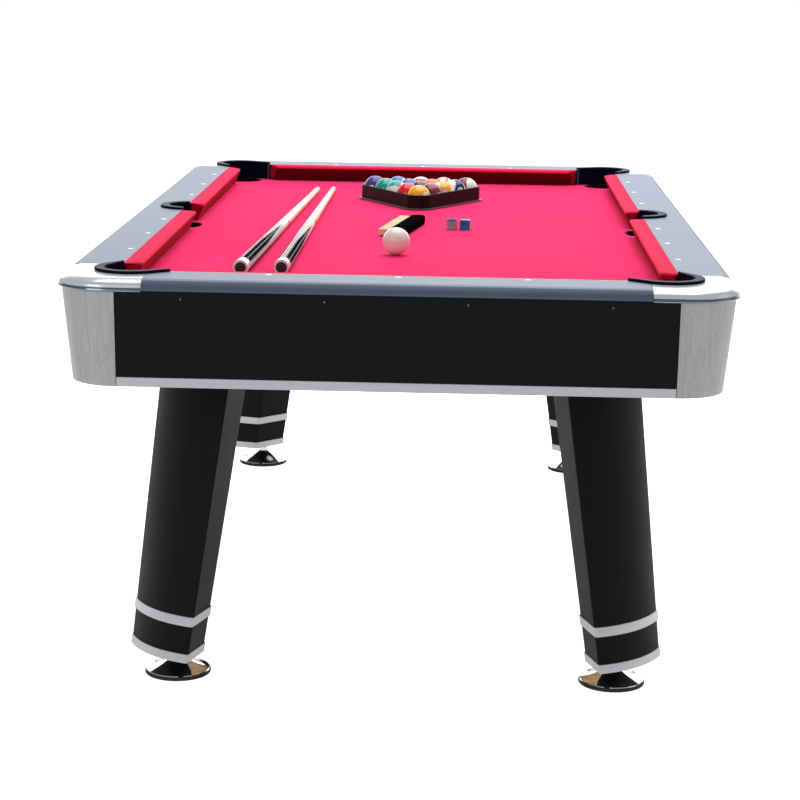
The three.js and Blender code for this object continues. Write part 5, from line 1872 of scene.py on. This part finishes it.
@dataclass
class Chalks:
    """Two cubes of chalk: a paper wrap on four sides and a dished blue face."""

    paints: Paints
    size: float = 22.5
    lay: tuple[tuple[str, float, float], ...] = (("chalk_wrapped", 0.04, 0.0), ("chalk_open", -0.12, -math.pi / 2))
    dish: float = 3.2

    def block(self) -> Shell:
        """Chalk: a rounded square ring lofted up to a rim, then down into a round dish."""
        half = self.size / 2
        square = eased(np.array([[-half, -half], [half, -half], [half, half], [-half, half]]), 2.0, 8)
        direction = square / np.linalg.norm(square, axis=1, keepdims=True)
        levels = [(square * 0.93, -half), (square * 0.985, -half + 0.5), (square * 0.99, -half + 1.2),
                  (square * 0.99, half - 1.2),
                  (square * 0.975, half - 0.4), (square * 0.94, half)]
        levels += [(direction * r, half - self.dish * (1 - (r / 9.0) ** 2)) for r in np.linspace(9.0, 0.6, 10)]
        return loft(np.stack([np.column_stack([ring, np.full(len(square), z)]) for ring, z in levels]))

    def wrap(self) -> Shell:
        """Paper wrap: a thin band round the four sides, short of the dished face."""
        half = self.size / 2
        square = eased(np.array([[-half, -half], [half, -half], [half, half], [-half, half]]), 2.0, 8)
        section = ((0.985, -half + 0.4), (1.0, -half + 0.4), (1.0, half - 3.2), (0.985, half - 3.2))
        return ring_body(np.stack([np.column_stack([square * k, np.full(len(square), z)]) for k, z in section]))

    def build(self) -> None:
        """Makes both cubes as they lie; the open one lies with its dish to the front."""
        for node, turn, tip in self.lay:
            low, high = box_mm(node)
            c, s = math.cos(turn), math.sin(turn)
            spin = np.array([[c, -s, 0], [s, c, 0], [0, 0, 1]])
            ct, st = math.cos(-tip), math.sin(-tip)
            lean = np.array([[1, 0, 0], [0, ct, -st], [0, st, ct]])
            for name, shell, finish in (("cube", self.block(), CHALK_BLUE), ("wrap", self.wrap(), CHALK_PAPER)):
                piece = to_object(shell.moved(spin @ lean, 0.5 * (low + high)), f"{node}_{name}",
                                  [self.paints.get(finish)])
                finished(piece, (node,) if name == "cube" else (), node)


# ------------------------------------------------------------------ what the frame keeps


@dataclass
class Workings:
    """CAD pieces inside the cabinet that keep their shape: slab, beams, gullies and tray."""

    paints: Paints
    nodes: dict[str, bpy.types.Object]

    def build(self) -> None:
        """Gives each kept node its finish."""
        for name, finish in (("bed_slab", BOARD), ("bed_beam_front", BOARD), ("bed_beam_rear", BOARD),
                             ("ball_gully_left", GULLY_PLASTIC), ("ball_gully_right", GULLY_PLASTIC),
                             ("ball_return_tray", GULLY_PLASTIC)):
            node = self.nodes[name]
            node.data.materials.clear()
            node.data.materials.append(self.paints.get(finish))
            LOG.info("%s: kept node, %s", name, finish.name)


# ------------------------------------------------------------------ studio


@dataclass
class Studio:
    """Pale floor, soft light, and a camera in front of the table a little above its rails."""

    place: tuple[float, float, float] = (0.122, -4.907, 1.393)
    yaw: float = -1.69
    pitch: float = 11.83
    roll: float = 0.91
    lens: float = 97.9
    floor_half: float = 30.0
    surround: float = 0.3

    def floor(self) -> None:
        """Plain pale floor with a faint mottle."""
        half = self.floor_half / MM
        plan = np.array([[-half, -half, 0.0], [half, -half, 0.0], [half, half, 0.0], [-half, half, 0.0]])
        shell = Shell(plan, [(np.array([[0, 1, 2, 3]]), plan[None, :, :2], 0)])
        pale = Finish("pale_floor", (0.86, 0.86, 0.86), (0.9, 0.9, 0.9), Effect.HANDLED, settings=(30.0, 0.0),
                      rough=(0.6, 0.7))
        material, graph, shader, _ = pale.graph()
        shader.inputs["Emission Color"].default_value = (1.0, 1.0, 1.0, 1.0)
        seen = graph.node("ShaderNodeLightPath").outputs["Is Camera Ray"]
        graph.link(graph.math("ADD", graph.math("MULTIPLY", seen, 0.5), 0.5), shader.inputs["Emission Strength"])
        to_object(shell, "floor", [material])

    def soft_light(
        self,
        name: str,
        place: tuple[float, float, float],
        aim: tuple[float, float, float],
        size: tuple[float, float],
        power: float,
    ) -> None:
        """Adds a rectangular soft light that faces a point.

        Args:
            name: Name of the light.
            place: Where it hangs.
            aim: The point that it faces.
            size: Its width and height in metres.
            power: Its power in watts.
        """
        lamp = bpy.data.lights.new(name, "AREA")
        lamp.shape, lamp.size, lamp.size_y, lamp.energy = "RECTANGLE", size[0], size[1], power
        holder = bpy.data.objects.new(name, lamp)
        holder.location = place
        holder.visible_camera = False
        holder.rotation_euler = (Vector(aim) - Vector(place)).to_track_quat("-Z", "Y").to_euler()
        bpy.context.scene.collection.objects.link(holder)

    def lights(self) -> None:
        """White surroundings and large soft lights above, behind, in front and at the right side."""
        scene = bpy.context.scene
        world = bpy.data.worlds.new("studio_white")
        world.use_nodes = True
        graph = Graph(world.node_tree)
        lit = world.node_tree.nodes["Background"]
        lit.inputs["Color"].default_value = (0.93, 0.96, 1.0, 1.0)
        lit.inputs["Strength"].default_value = self.surround
        seen = graph.node("ShaderNodeBackground")
        seen.inputs["Color"].default_value = (1.0, 1.0, 1.0, 1.0)
        mixed = graph.node("ShaderNodeMixShader")
        graph.link(graph.node("ShaderNodeLightPath").outputs["Is Camera Ray"], mixed.inputs[0])
        graph.link(lit.outputs[0], mixed.inputs[1])
        graph.link(seen.outputs[0], mixed.inputs[2])
        graph.link(mixed.outputs[0], world.node_tree.nodes["World Output"].inputs["Surface"])
        scene.world = world
        scene.view_settings.view_transform = "Standard"
        self.soft_light("over_light", (0.3, 0.9, 3.6), (0.0, 0.0, 0.8), (3.0, 4.0), 128.0)
        self.soft_light("back_light", (0.0, 7.5, 2.7), (0.0, 0.0, 0.7), (14.0, 4.4), 330.0)
        self.soft_light("front_light", (-2.6, -4.6, 2.6), (0.0, -0.8, 0.6), (2.6, 2.0), 42.0)
        self.soft_light("right_light", (4.2, -1.2, 2.4), (0.0, 0.0, 0.6), (2.4, 2.2), 8.0)

    def camera(self) -> None:
        """Camera from its place, yaw, downward pitch and roll, by its three axes."""
        yaw, pitch, roll = (math.radians(v) for v in (self.yaw, self.pitch, self.roll))
        ahead = np.array([math.sin(yaw) * math.cos(pitch), math.cos(yaw) * math.cos(pitch), -math.sin(pitch)])
        level = np.array([math.cos(yaw), -math.sin(yaw), 0.0])
        above = np.cross(level, ahead)
        right = level * math.cos(roll) + above * math.sin(roll)
        up = -level * math.sin(roll) + above * math.cos(roll)
        view = bpy.data.cameras.new("viewpoint")
        view.lens, view.sensor_width, view.clip_end = self.lens, 36.0, 100.0
        holder = bpy.data.objects.new("viewpoint", view)
        matrix = np.eye(4)
        matrix[:3, 0], matrix[:3, 1], matrix[:3, 2], matrix[:3, 3] = right, up, -ahead, self.place
        holder.matrix_world = Matrix(matrix.tolist())
        bpy.context.scene.collection.objects.link(holder)
        bpy.context.scene.camera = holder


def main() -> None:
    """Loads the frame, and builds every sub-assembly in order."""
    logging.basicConfig(level=logging.INFO, format="%(name)s: %(message)s")
    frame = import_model()
    paints = Paints()
    size = TableSizes()
    studio = Studio()
    studio.camera()
    studio.floor()
    studio.lights()
    for assembly in (Bed(size, paints), Cushions(size, paints), Rails(size, paints), PocketLiners(size, paints),
                     Cabinet(size, paints), Legs(paints), Feet(paints), Rack(paints), Balls(paints), Cues(paints),
                     Brush(paints), Chalks(paints), Workings(paints, frame["nodes"])):
        LOG.info("building %s", type(assembly).__name__)
        assembly.build()


if __name__ == "__main__":
    main()
